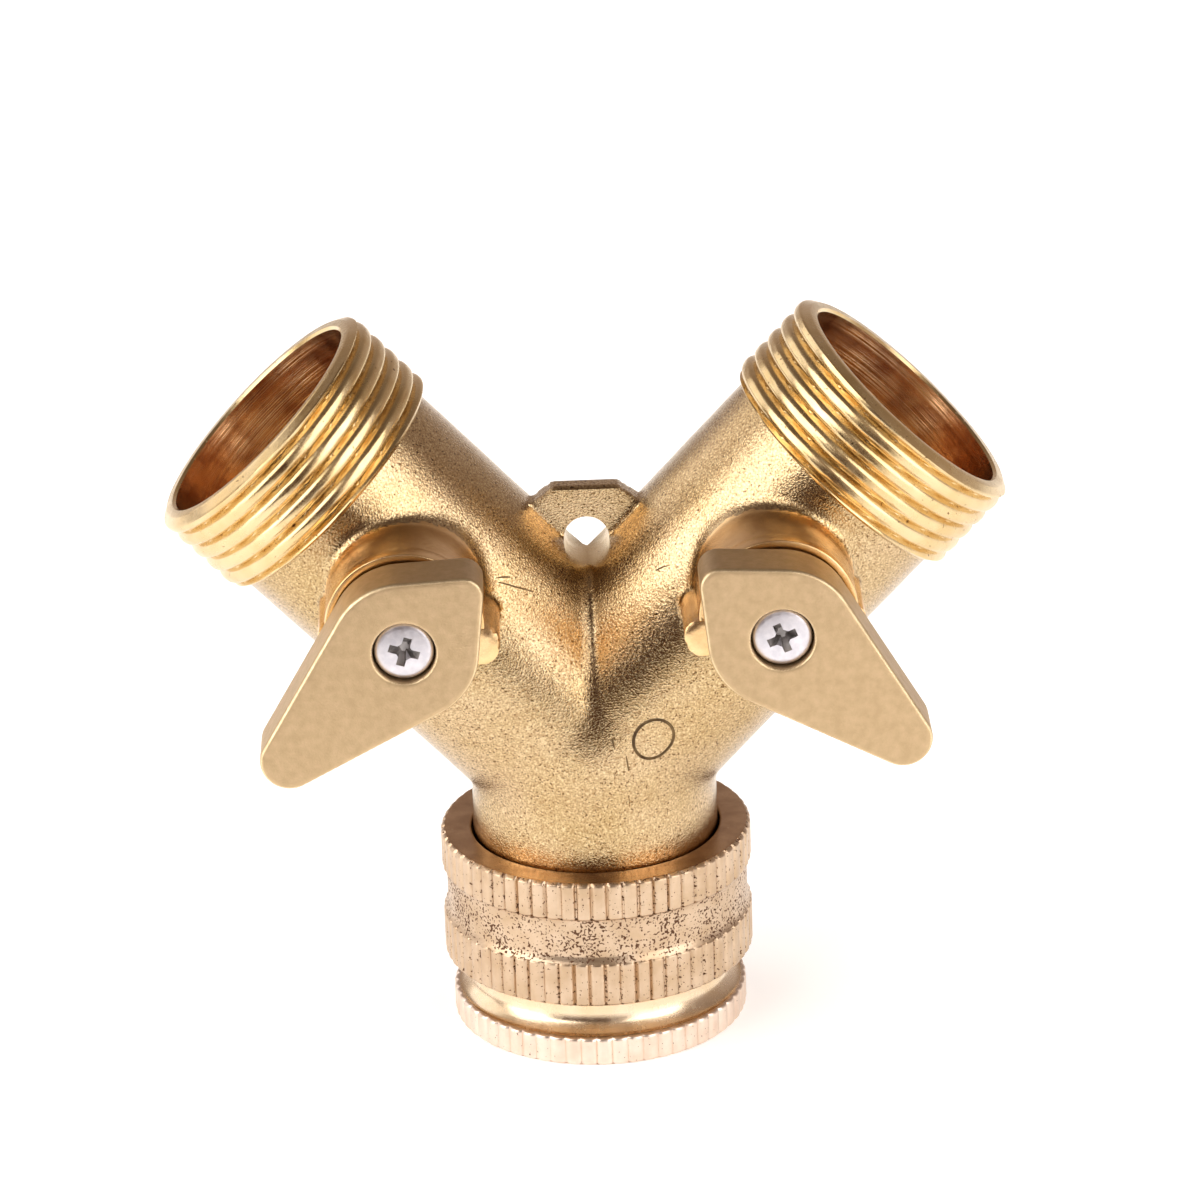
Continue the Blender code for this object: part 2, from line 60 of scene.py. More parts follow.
JOINTS = {joint["name"]: joint for joint in frame["record"]["behaviour"]["joints"]}
MOUNTS = {mount["name"]: mount for mount in frame["record"]["mounts"]}
AXIS_Y = JOINTS["nut_swivel"]["pos_m"][1] / MM
ARM_DIRECTION = MOUNTS["right_outlet_face"]["axis"]
ARM_TILT = atan2(ARM_DIRECTION[0], ARM_DIRECTION[2])
RIM_X = MOUNTS["right_outlet_face"]["pos_m"][0] / MM
RIM_Z = MOUNTS["right_outlet_face"]["pos_m"][2] / MM
RIM_REACH = RIM_X / sin(ARM_TILT)
MEET_Z = RIM_Z - RIM_REACH * cos(ARM_TILT)
STEM_X = JOINTS["right_lever_turn"]["pos_m"][0] / MM
STEM_Z = JOINTS["right_lever_turn"]["pos_m"][2] / MM
STEM_REACH = STEM_X / sin(ARM_TILT)
NUT_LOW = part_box("swivel_nut")[0][2] / MM
NUT_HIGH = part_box("swivel_nut")[1][2] / MM
NUT_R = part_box("swivel_nut")[1][0] / MM
FLANGE_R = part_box("inlet_adapter")[1][0] / MM
ADAPTER_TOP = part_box("inlet_adapter")[1][2] / MM
LEVER_FACE = AXIS_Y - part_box("right_lever")[0][1] / MM
HEAD_TOP = AXIS_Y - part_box("right_lever_screw")[0][1] / MM

# Sizes of the forms, in millimetres

ARM_R = 12.0
NECK_R = 11.8
HUB_R = 12.2
TAIL_END = 14.6
BORE_R = 11.25
THREAD_LENGTH = 9.3
THREAD_CREST_R = 13.22
THREAD_ROOT_R = 12.5
THREAD_PITCH = 25.4 / 14
BOSS_R = 7.3
BOSS_FACE = 18.0
BOSS_RIM_R = 6.62                  # the raised rim runs round the lever's stop tab
LUG_FACE = 19.1
LEVER_BACK = 19.4
LEVER_HUB_R = 6.8
LEVER_TIP = (15.0, 2.7)             # reach and radius
LEVER_HEEL = (7.7, 1.8)
INNER_LUG = (radians(196), 8.95, 1.8)     # direction, reach, half width; right side
OUTER_LUG = (radians(355), 8.0, 1.1)
WEB_HALF = 1.2
WEB_TOP = 54.4
WEB_HOLE_R = 2.15
WEB_HOLE_Z = 49.3
HEAD_R = 2.75
HEAD_SEAT = 23.3
SQUARE = 5.2
BALL_R = 7.5
PORT_R = 5.0
SEAT_CHAMBER_R = 9.0
RETAINER_BORE_R = 9.9
PLENUM_R = 8.0
FLUTES = 62
FLUTE_DEPTH = 0.3
BAND_LOW = 11.05                    # the nut is plain between these two heights
BAND_HIGH = 15.75
FLANGE_FLUTES = 58
ADAPTER_NECK_R = 12.3
ADAPTER_THREAD_LOW = 6.9
ADAPTER_BORE_R = 9.9
ADAPTER_STEP = 9.5
PIN_MARK = (5.4, -10.5, 33.0)       # middle of the oval left by a die pin
PIN_MARK_DEPTH = 0.17
CREASE_DEPTH = 0.09

# Creases and nicks on the hub's front: start and end in x and z, and the bow between them.
CREASES = {
    "crease_a": ((-8.6, 49.0), (-3.7, 48.1), -0.1),
    "crease_b": ((-8.3, 49.3), (-6.3, 49.5), 0.1),
    "crease_c": ((3.4, 49.1), (6.7, 50.2), 0.4),
    "nick_a": ((1.65, 33.2), (1.7, 32.0), 0.0),
    "nick_b": ((2.7, 31.4), (2.8, 29.7), 0.0),
    "nick_c": ((1.6, 29.9), (1.65, 28.5), 0.0),
    "nick_d": ((2.8, 27.3), (2.85, 25.9), 0.0),
}

# Grid steps of the field meshes, in millimetres
CASTING_CELL = 0.42
LEVER_CELL = 0.21


# Mesh helpers

def placed(name, data):
    """A new object in the scene that shows this data."""
    thing = bpy.data.objects.new(name, data)
    bpy.context.scene.collection.objects.link(thing)
    return thing


def mesh_object(name, points, faces, matrix=None):
    """An object from points in millimetres and lists of each face's corners."""
    mesh = bpy.data.meshes.new(name)
    scaled = np.asarray(points, dtype=float) * MM
    if matrix is not None:
        turn = np.array(matrix.to_3x3())
        scaled = scaled @ turn.T + np.array(matrix.translation)
    mesh.from_pydata(scaled.tolist(), [], faces)
    mesh.update()
    mesh.shade_smooth()
    return placed(name, mesh)


def rows(items, name):
    """One vector of each item, as the rows of an array."""
    values = np.empty(len(items) * 3)
    items.foreach_get(name, values)
    return values.reshape(-1, 3)


def face_centres(thing):
    """The middles of a mesh's faces, in the Y's space."""
    return rows(thing.data.polygons, "center") / MM - np.array([0.0, AXIS_Y, 0.0])


def store(thing, name, values):
    """Keep a value on each of a mesh's points, for its material to read."""
    attribute = thing.data.attributes.new(name, "FLOAT", "POINT")
    attribute.data.foreach_set("value", values)


def use_slots(thing, numbers):
    """Set the material slot of each of a mesh's faces."""
    thing.data.polygons.foreach_set("material_index", numbers.astype(int))


def add_materials(thing, *materials):
    """Fill a mesh's material slots in order."""
    for material in materials:
        thing.data.materials.append(material)


def sharpen(thing, degrees=38):
    """Smooth shading that stops at edges steeper than this."""
    thing.data.shade_smooth()
    thing.data.set_sharp_from_angle(angle=radians(degrees))


def turned(name, loop, segments, matrix=None, change=None):
    """A ring-shaped solid: a closed loop of (radius, height) turned about local Z.

    The loop runs down its outer side. change(angle, radius, height) gives new radii.
    """
    outline = np.array(loop, dtype=float)
    angles = np.arange(segments) * tau / segments
    angle, index = np.meshgrid(angles, np.arange(len(outline)), indexing="ij")
    radius, height = outline[index, 0], outline[index, 1]
    if change is not None:
        radius = change(angle, radius, height)
    points = np.stack([radius * np.cos(angle), radius * np.sin(angle), height], -1)
    count = len(outline)
    row, column = np.meshgrid(np.arange(segments), np.arange(count), indexing="ij")
    next_row, next_column = (row + 1) % segments, (column + 1) % count
    corners = [row * count + column, row * count + next_column]
    corners += [next_row * count + next_column, next_row * count + column]
    quads = np.stack(corners, -1).reshape(-1, 4)
    return mesh_object(name, points.reshape(-1, 3), quads.tolist(), matrix)


def spun(name, profile, segments, matrix=None):
    """A solid of revolution whose profile starts and ends on the axis, outer side downward."""
    inner = np.array(profile[1:-1], dtype=float)
    angles = np.arange(segments) * tau / segments
    ring = np.stack([np.cos(angles), np.sin(angles)], -1)
    points = [(0.0, 0.0, profile[0][1])]
    for radius, height in inner:
        points += [(radius * x, radius * y, height) for x, y in ring]
    points.append((0.0, 0.0, profile[-1][1]))
    faces = []
    for step in range(segments):
        following = (step + 1) % segments
        faces.append((0, 1 + step, 1 + following))
        for row in range(len(inner) - 1):
            high, low = 1 + row * segments, 1 + (row + 1) * segments
            faces.append((high + step, low + step, low + following, high + following))
        last = 1 + (len(inner) - 1) * segments
        faces.append((last + following, last + step, len(points) - 1))
    return mesh_object(name, points, faces, matrix)


def block(name, low, high, matrix, taper=(1.0, 1.0)):
    """A box between two corners; taper narrows its lower end in x and y."""
    points = []
    for height, (x_share, y_share) in ((low[2], taper), (high[2], (1.0, 1.0))):
        for x, y in ((low[0], low[1]), (high[0], low[1]), (high[0], high[1]), (low[0], high[1])):
            points.append((x * x_share, y * y_share, height))
    faces = [(3, 2, 1, 0), (4, 5, 6, 7), (0, 1, 5, 4), (1, 2, 6, 5), (2, 3, 7, 6), (3, 0, 4, 7)]
    return mesh_object(name, points, faces, matrix)


def softened(corners, radius, steps=3):
    """A closed loop with each corner replaced by a short curve."""
    result = []
    count = len(corners)
    for index, corner in enumerate(corners):
        here = np.array(corner, dtype=float)
        before = np.array(corners[index - 1], dtype=float) - here
        after = np.array(corners[(index + 1) % count], dtype=float) - here
        reach = min(radius, 0.45 * np.linalg.norm(before), 0.45 * np.linalg.norm(after))
        start = here + before / np.linalg.norm(before) * reach
        end = here + after / np.linalg.norm(after) * reach
        for step in range(steps + 1):
            along = step / steps
            point = (1 - along) ** 2 * start + 2 * along * (1 - along) * here + along ** 2 * end
            result.append(tuple(point))
    return result


def filled(loop, spacing):
    """The same loop with extra points wherever two neighbours are further apart than spacing."""
    result = []
    for index, corner in enumerate(loop):
        following = loop[(index + 1) % len(loop)]
        gap = sqrt((following[0] - corner[0]) ** 2 + (following[1] - corner[1]) ** 2)
        pieces = max(1, int(np.ceil(gap / spacing)))
        for piece in range(pieces):
            along = piece / pieces
            result.append(tuple((1 - along) * a + along * b for a, b in zip(corner, following)))
    return result


def carve(thing, tool, operation="DIFFERENCE"):
    """Cut or join two closed meshes at once, and drop the tool."""
    step = thing.modifiers.new("carve", "BOOLEAN")
    step.operation = operation
    step.object = tool
    step.solver = "MANIFOLD"
    seen = thing.evaluated_get(bpy.context.evaluated_depsgraph_get())
    mesh = bpy.data.meshes.new_from_object(seen)
    mesh.materials.clear()
    thing.modifiers.clear()
    old = thing.data
    thing.data = mesh
    bpy.data.meshes.remove(old)
    bpy.data.objects.remove(tool, do_unlink=True)


# Distance fields

def blended(first, second, width):
    """The union of two fields with a fillet of about this width between them."""
    overlap = np.maximum(width - np.abs(first - second), 0.0) / width
    return np.minimum(first, second) - overlap * overlap * width / 4


def rounded_pair(across, along, rounding):
    """Two distances past a form's walls, joined into one field with a rounded edge."""
    a, b = across + rounding, along + rounding
    outside = np.hypot(np.maximum(a, 0.0), np.maximum(b, 0.0))
    return outside + np.minimum(np.maximum(a, b), 0.0) - rounding


def between(value, low, high):
    """How far a value lies past the nearer of two limits."""
    return np.abs(value - (low + high) / 2) - (high - low) / 2


def uneven_capsule(along, across, start_r, end_r, reach):
    """The field of two circles and their tangents, in a plane."""
    slope = (start_r - end_r) / reach
    rise = sqrt(1 - slope * slope)
    side = np.abs(across)
    split = along * rise - side * slope
    near = np.hypot(along, side) - start_r
    far = np.hypot(along - reach, side) - end_r
    middle = side * rise + along * slope - start_r
    return np.where(split < 0, near, np.where(split > rise * reach, far, middle))


def crossed_edges(values, axis):
    """The grid edges along an axis that cross zero: starts, crossings, and which start outside."""
    here, there = [slice(None)] * 3, [slice(None)] * 3
    here[axis], there[axis] = slice(None, -1), slice(1, None)
    inside = values < 0
    starts = np.argwhere(inside[tuple(here)] != inside[tuple(there)])
    ends = starts.copy()
    ends[:, axis] += 1
    first, second = values[tuple(starts.T)], values[tuple(ends.T)]
    spots = starts.astype(float)
    spots[:, axis] += first / (first - second)
    return starts, spots, first > 0


def cells_round(starts, axis):
    """The four grid cells round each edge, in turn."""
    others = [other for other in range(3) if other != axis]
    cells = []
    for one, two in ((0, 0), (1, 0), (1, 1), (0, 1)):
        owner = starts.copy()
        owner[:, others[0]] -= one
        owner[:, others[1]] -= two
        cells.append(owner)
    return cells


def field_mesh(name, field, low, high, cell, matrix=None):
    """A smooth closed quad mesh on a field's zero level.

    One point is made in each grid cell that the surface crosses, joined around each crossed
    grid edge, and then drawn onto the surface by a few steps down the field.
    """
    axes = [np.arange(start - cell, end + 2 * cell, cell) for start, end in zip(low, high)]
    values = field(np.stack(np.meshgrid(*axes, indexing="ij"), -1))
    shape = np.array(values.shape) - 1
    sums, counts = np.zeros((*shape, 3)), np.zeros(shape)
    edges = []
    for axis in range(3):
        starts, spots, from_outside = crossed_edges(values, axis)
        cells = cells_round(starts, axis)
        for owner in cells:
            np.add.at(sums, tuple(owner.T), spots)
            np.add.at(counts, tuple(owner.T), 1)
        edges.append((cells, from_outside != (axis == 1)))
    used = np.argwhere(counts > 0)
    numbers = np.full(shape, -1)
    numbers[tuple(used.T)] = np.arange(len(used))
    points = sums[tuple(used.T)] / counts[tuple(used.T)][:, None] * cell
    points += np.array([axis[0] for axis in axes])
    quads = []
    for cells, flip in edges:
        quad = np.stack([numbers[tuple(owner.T)] for owner in cells], -1)
        quad[flip] = quad[flip][:, ::-1]
        quads += quad.tolist()
    return mesh_object(name, settled(points, field, cell), quads, matrix)


def settled(points, field, cell):
    """Points moved onto the field's zero level, in steps of at most a third of a cell."""
    probe = 0.02
    for _ in range(4):
        value = field(points)
        slope = np.zeros_like(points)
        for axis in range(3):
            offset = np.zeros(3)
            offset[axis] = probe
            slope[:, axis] = (field(points + offset) - field(points - offset)) / (2 * probe)
        size = np.maximum((slope ** 2).sum(-1), 0.05)
        step = np.clip(value / size, -cell / 3, cell / 3)
        points = points - slope * step[:, None]
    return points


# Frames of the pieces

Y_SPACE = Matrix.Translation((0.0, AXIS_Y * MM, 0.0))


def arm_matrix(side):
    """Local Z along an arm, from where the arm axes cross."""
    tilt = Matrix.Rotation(SIDES[side] * ARM_TILT, 4, "Y")
    return Y_SPACE @ Matrix.Translation((0.0, 0.0, MEET_Z * MM)) @ tilt


def valve_matrix(side):
    """Local Z to the front on the stem axis, local X along the closed lever."""
    turn = -ARM_TILT if side == "right" else pi + ARM_TILT
    place = Matrix.Translation((SIDES[side] * STEM_X * MM, 0.0, STEM_Z * MM))
    return Y_SPACE @ place @ Matrix.Rotation(pi / 2, 4, "X") @ Matrix.Rotation(turn, 4, "Z")


# The Y body

def arm_parts(points, side):
    """Distance along an arm, and distance from its axis."""
    x, y, z = points[..., 0], points[..., 1], points[..., 2] - MEET_Z
    along = SIDES[side] * x * sin(ARM_TILT) + z * cos(ARM_TILT)
    across = SIDES[side] * x * cos(ARM_TILT) - z * sin(ARM_TILT)
    return along, np.hypot(across, y)


def stem_distance(points, side):
    """Distance from a stem's axis."""
    return np.hypot(SIDES[side] * points[..., 0] - STEM_X, points[..., 2] - STEM_Z)


def lug_field(points, side, lug):
    """A stop lug beside a boss, square with rounded edges."""
    direction, reach, half_width = lug
    x = SIDES[side] * points[..., 0] - STEM_X
    z = points[..., 2] - STEM_Z
    outward = x * cos(direction) + z * sin(direction)
    sideways = z * cos(direction) - x * sin(direction)
    width = between(sideways, -half_width, half_width)
    flat = rounded_pair(between(outward, 3.0, reach), width, half_width * 0.85)
    return rounded_pair(flat, between(-points[..., 1], 8.0, LUG_FACE), 0.25)


def web_field(points):
    """The flat web between the arms, with cut shoulders."""
    x, z = np.abs(points[..., 0]), points[..., 2]
    shoulder = ((x - 3.0) * 2.0 + (z - WEB_TOP) * 2.7) / sqrt(2.0 ** 2 + 2.7 ** 2)
    outline = np.maximum(np.maximum(z - WEB_TOP, shoulder), between(z, 42.0, 60.0))
    outline = np.maximum(outline, x - 7.0)
    return rounded_pair(outline, np.abs(points[..., 1]) - WEB_HALF, 0.12)


def unevenness(points):
    """The slight waviness of a forged surface."""
    x, y, z = np.moveaxis(points, -1, 0)
    slow = np.sin(0.83 * x + 1.3) * np.sin(0.71 * z + 0.4) + np.sin(0.93 * y + 0.57 * z)
    quick = np.sin(1.9 * x - 1.1 * z) * np.sin(2.3 * z + 0.8 * y)
    return 0.012 * slow + 0.008 * quick


def parting_ridge(points):
    """How far the closed die's flash stands up along the valley in front."""
    x, y, z = np.moveaxis(points, -1, 0)
    fade = np.clip((z - 36.5) / 4.0, 0.0, 1.0) * (y < 0)
    return 0.11 * fade * np.exp(-((x + 0.25) / 0.36) ** 2)


def casting_field(points):
    """The forged Y without its bores and threads."""
    x, y, z = np.moveaxis(points, -1, 0)
    neck = rounded_pair(np.hypot(x, y) - NECK_R, between(z, TAIL_END, MEET_Z), 0.2)
    hub = np.sqrt(x * x + y * y + (z - MEET_Z) ** 2) - HUB_R
    arms = []
    for side in SIDES:
        along, radial = arm_parts(points, side)
        end = RIM_REACH - THREAD_LENGTH + 0.4
        arms.append(rounded_pair(radial - ARM_R, between(along, 0.0, end), 0.25))
    field = blended(arms[0], arms[1], 0.5)
    field = blended(field, hub, 0.8)
    field = blended(field, neck, 0.8)
    field = field + unevenness(points) - parting_ridge(points)
    field = blended(field, web_field(points), 0.25)
    for side in SIDES:
        wall = stem_distance(points, side) - BOSS_R
        boss = rounded_pair(wall, between(-y, 2.0, BOSS_FACE), 0.2)
        field = blended(field, boss, 1.3)
        field = blended(field, lug_field(points, side, INNER_LUG), 0.25)
        field = blended(field, lug_field(points, side, OUTER_LUG), 0.25)
    return field


def thread_radius(phase, root, crest):
    """A worn thread's form, with broad crests and narrow roots; phase counts turns."""
    across = 1 - np.abs((phase % 1.0) - 0.5) * 2
    return crest - (crest - root) * across ** 3


def outlet_thread(side):
    """A ring with the helical outlet thread, chamfered rim and overhanging last turn."""
    top, start, low = RIM_REACH, RIM_REACH - THREAD_LENGTH, RIM_REACH - THREAD_LENGTH - 0.9
    outer_r, core_r, wall_steps = ARM_R - 0.4, BORE_R - 3.25, 110
    rim_r, rim_slope, wear_depth, runout_length = THREAD_ROOT_R - 0.25, 1.7, 0.12, 0.35
    loop = [(THREAD_ROOT_R, height) for height in np.linspace(top, start, wall_steps + 1)]
    loop += [(outer_r, start), (outer_r, low), (core_r, low), (core_r, top)]

    def shape(angle, radius, height):
        turns = (height - top) / THREAD_PITCH - angle / tau
        threaded = thread_radius(turns, THREAD_ROOT_R, THREAD_CREST_R)
        wear = np.sin(17 * angle + 5 * height) * np.sin(41 * angle + 2) * np.sin(5 * angle - height)
        threaded = threaded - wear_depth * np.maximum(wear - 0.6, 0.0)
        chamfer = rim_r + (top - height) * rim_slope
        runout = THREAD_CREST_R - np.maximum(start + runout_length - height, 0.0) * 1.2
        threaded = np.minimum(np.minimum(threaded, chamfer), runout)
        on_thread = (radius > THREAD_ROOT_R - 0.05) & (height > start - 0.01)
        return np.where(on_thread, threaded, radius)

    return turned(side + "_thread", loop, 180, arm_matrix(side), shape)


def boss_rim(side):
    """The raised rim round a boss's face."""
    low, high, outer = BOSS_FACE - 1.0, LUG_FACE - 0.1, BOSS_R + 0.04
    corners = [(outer, high), (outer, low), (BOSS_RIM_R, low), (BOSS_RIM_R, high)]
    return turned(side + "_rim", softened(corners, 0.15), 128, valve_matrix(side))


def bore_tool(side):
    """The stepped bore of an arm."""
    mouth = RIM_REACH + 2.0
    retainer_mouth, chamber_mouth, floor = 36.5, 32.4, STEM_REACH - 7.7
    lead = 0.25
    profile = [
        (0.0, mouth), (BORE_R + lead + 1.0, mouth), (BORE_R + lead, RIM_REACH + 0.02),
        (BORE_R, RIM_REACH - lead), (BORE_R, retainer_mouth), (RETAINER_BORE_R, retainer_mouth),
        (RETAINER_BORE_R, chamber_mouth), (SEAT_CHAMBER_R, chamber_mouth),
        (SEAT_CHAMBER_R, floor), (PORT_R, floor), (PORT_R, 0.0), (0.0, 0.0),
    ]
    return spun(side + "_bore_tool", profile, 128, arm_matrix(side))


def stem_tool(side):
    """The bore for a stem through its boss."""
    shank_r, flange_r = 3.7, 4.9
    front, flange_front, back = 20.5, 11.4, 4.0
    profile = [
        (0.0, front), (shank_r, front), (shank_r, flange_front), (flange_r, flange_front),
        (flange_r, back), (0.0, back),
    ]
    return spun(side + "_stem_tool", profile, 48, valve_matrix(side))


def inlet_tool():
    """The domed inlet bore."""
    low = 12.0
    turns = np.linspace(0, pi / 2, 12)
    dome = [(PLENUM_R * sin(turn), MEET_Z + PLENUM_R * cos(turn)) for turn in turns]
    profile = [(0.0, dome[0][1])] + dome[1:] + [(PLENUM_R, low), (0.0, low)]
    return spun("inlet_tool", profile, 96, Y_SPACE)


def web_hole_tool():
    """The drill through the web and the crotch below it."""
    turn = Matrix.Translation((0.0, 0.0, WEB_HOLE_Z * MM)) @ Matrix.Rotation(pi / 2, 4, "X")
    reach = 9.0
    profile = [(0.0, reach), (WEB_HOLE_R, reach), (WEB_HOLE_R, -reach), (0.0, -reach)]
    return spun("web_hole_tool", profile, 64, Y_SPACE @ turn)


def groove_tool(name, path, radius, closed):
    """A thin tube along points that are first drawn onto the casting's surface."""
    route = settled(np.array(path, dtype=float), casting_field, 2.0)
    curve = bpy.data.curves.new(name, "CURVE")
    curve.dimensions = "3D"
    curve.bevel_depth = radius * MM
    curve.bevel_resolution = 1
    curve.use_fill_caps = True
    line = curve.splines.new("POLY")
    line.points.add(len(route) - 1)
    for index, (point, (x, y, z)) in enumerate(zip(line.points, route)):
        point.co = (x * MM, (y + AXIS_Y) * MM, z * MM, 1.0)
        along = index / (len(route) - 1)
        point.radius = 1.0 if closed else sqrt(max(0.06, 4 * along * (1 - along)))
    line.use_cyclic_u = closed
    drawn = placed(name, curve)
    seen = drawn.evaluated_get(bpy.context.evaluated_depsgraph_get())
    mesh = bpy.data.meshes.new_from_object(seen)
    bpy.data.objects.remove(drawn, do_unlink=True)
    shape = bmesh.new()
    shape.from_mesh(mesh)
    bmesh.ops.remove_doubles(shape, verts=shape.verts, dist=0.000001)
    bmesh.ops.recalc_face_normals(shape, faces=shape.faces)
    shape.to_mesh(mesh)
    shape.free()
    return placed(name, mesh)


def pin_mark_tool():
    """The oval groove on the front of the hub."""
    lean, half_width, half_height, steps = radians(-35), 1.68, 2.15, 40
    path = []
    for step in range(steps):
        angle = tau * step / steps
        a, b = half_width * cos(angle), half_height * sin(angle)
        x, z = a * cos(lean) - b * sin(lean), a * sin(lean) + b * cos(lean)
        path.append((PIN_MARK[0] + x, PIN_MARK[1], PIN_MARK[2] + z))
    return groove_tool("pin_mark_tool", path, PIN_MARK_DEPTH, True)


def scratch_tool(name, start, end, bow):
    """A short forging crease on the front, from start to end in x and z, that bows a little."""
    steps = 10
    path = []
    for step in range(steps + 1):
        along = step / steps
        rise = bow * 4 * along * (1 - along)
        x = start[0] + (end[0] - start[0]) * along
        z = start[1] + (end[1] - start[1]) * along + rise
        path.append((x, PIN_MARK[1], z))
    return groove_tool(name, path, CREASE_DEPTH, False)


def make_body():
    """The finished Y: forged form, threads, bores and marks in one closed mesh."""
    reach = RIM_X + 4.0
    low, high = (-reach, -20.0, TAIL_END), (reach, 13.5, RIM_Z + 2.0)
    body = field_mesh("y_body_fine", casting_field, low, high, CASTING_CELL, Y_SPACE)
    for side in SIDES:
        carve(body, outlet_thread(side), "UNION")
        carve(body, boss_rim(side), "UNION")
    for side in SIDES:
        carve(body, bore_tool(side))
        carve(body, stem_tool(side))
    carve(body, inlet_tool())
    carve(body, web_hole_tool())
    carve(body, pin_mark_tool())
    for name, (start, end, bow) in CREASES.items():
        carve(body, scratch_tool(name, start, end, bow))
    sharpen(body, 42)
    return body


def body_zones(body, cast, thread, bore, groove_dark, satin):
    """Give machined walls, threads and the marks' grooves their own materials."""
    add_materials(body, cast, thread, bore, groove_dark, satin)
    thread_slot, bore_slot, groove_slot, satin_slot = range(1, 5)
    centres = face_centres(body)
    zones = np.zeros(len(centres), dtype=int)
    for side in SIDES:
        along, radial = arm_parts(centres, side)
        threaded = (along > RIM_REACH - THREAD_LENGTH - 0.02) & (radial > BORE_R - 0.1)
        inner = (along > 5.0) & (radial < BORE_R + 0.02) & (np.abs(centres[:, 1]) < 11.5)
        deep = inner & (along > STEM_REACH - 8.0) & (radial < 10.0) & (centres[:, 1] > -9.4)
        zones[threaded] = thread_slot
        zones[(inner & (along > 32.0)) | deep] = bore_slot
    plenum = np.hypot(centres[:, 0], centres[:, 1]) < PLENUM_R + 0.2
    zones[plenum & (centres[:, 2] < MEET_Z + PLENUM_R + 0.5)] = bore_slot
    sunk = casting_field(centres)
    marks = (sunk < -0.035) & (sunk > -0.45) & (np.abs(centres[:, 1] + 9.5) < 3.2)
    marks &= (np.abs(centres[:, 0]) < 9.2) & (np.abs(centres[:, 2] - 40.0) < 10.5)
    # The grooves of the pin mark and the creases get a dark brown colour of their own.
    zones[marks] = groove_slot
    for side in SIDES:
        radial = stem_distance(centres, side)
        near = (radial > BOSS_R - 1.5) & (radial < 9.3) & (centres[:, 1] < -9.0)
        _, from_arm = arm_parts(centres, side)
        zones[near & (from_arm > ARM_R + 0.5)] = satin_slot
    hole = np.hypot(centres[:, 0], centres[:, 2] - WEB_HOLE_Z) < WEB_HOLE_R + 0.02
    zones[hole] = thread_slot
    use_slots(body, zones)


# Levers, screws and what the arms hold

def lever_field(side):
    """A lever in its own space: x along it, z to the front."""
    inner_edge, outer_edge = INNER_LUG[0] + radians(12), OUTER_LUG[0] - radians(8)
    play = radians(1.5)
    half_tab = (outer_edge - inner_edge - pi / 2) / 2 - play
    tab_turn = inner_edge + half_tab + play - (tau - ARM_TILT)
    if side == "left":
        tab_turn = -tab_turn

    def field(points):
        x, y, z = np.moveaxis(points, -1, 0)
        to_tip = uneven_capsule(x, y, LEVER_HUB_R, LEVER_TIP[1], LEVER_TIP[0])
        to_heel = uneven_capsule(-x, y, LEVER_HUB_R, LEVER_HEEL[1], LEVER_HEEL[0])
        outline = np.minimum(to_tip, to_heel)
        plate = rounded_pair(outline, between(z, LEVER_BACK, LEVER_FACE), 0.42)
        angle = np.arctan2(y, x) - tab_turn
        angle = np.abs((angle + pi) % tau - pi)
        radial = np.hypot(x, y)
        sector = np.maximum(between(radial, 5.1, LEVER_HUB_R - 0.3), (angle - half_tab) * radial)
        tab = rounded_pair(sector, between(z, BOSS_FACE + 0.3, LEVER_BACK + 1.0), 0.15)
        solid = np.minimum(plate, tab)
        recess = rounded_pair(radial - HEAD_R - 0.16, between(z, HEAD_SEAT, LEVER_FACE + 4), 0.05)
        hole = radial - 1.75
        square = np.maximum(np.abs(x), np.abs(y)) - SQUARE / 2
        socket = np.maximum(square, z - 22.4)
        hollow = np.minimum(np.minimum(recess, hole), socket)
        return -blended(-solid, hollow, 0.3)

    return field


def mark_edges(thing):
    """Store how much each point lies on a rounded edge between front and side."""
    facing = rows(thing.data.vertices, "normal")[:, 1] ** 2
    store(thing, "edge", 4 * facing * (1 - facing))


def make_lever(side, material):
    """The lever with softened edges, its stop tab, socket and screw recess."""
    low, high = (-10.0, -7.2, BOSS_FACE + 0.2), (18.0, 7.2, LEVER_FACE)
    field = lever_field(side)
    lever = field_mesh(side + "_lever_fine", field, low, high, LEVER_CELL, valve_matrix(side))
    mark_edges(lever)
    add_materials(lever, material)
    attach(lever, side + "_valve")
    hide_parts(side + "_lever")


def cross_tool(side, turn, length, width):
    """One arm of the screw's cross recess, narrowing as it goes down."""
    low = (-length / 2, -width / 2, HEAD_TOP - 1.3)
    high = (length / 2, width / 2, HEAD_TOP + 0.3)
    place = valve_matrix(side) @ Matrix.Rotation(turn, 4, "Z")
    return block(side + "_cross", low, high, place, (0.3, 0.5))


def mark_recess(screw, side):
    """Give the walls of the cross recess the second material, a darker grey."""
    centres = face_centres(screw)
    depth = HEAD_TOP + centres[:, 1]
    walls = (stem_distance(centres, side) < 1.7) & (depth > 0.12) & (depth < 2.2)
    use_slots(screw, walls)


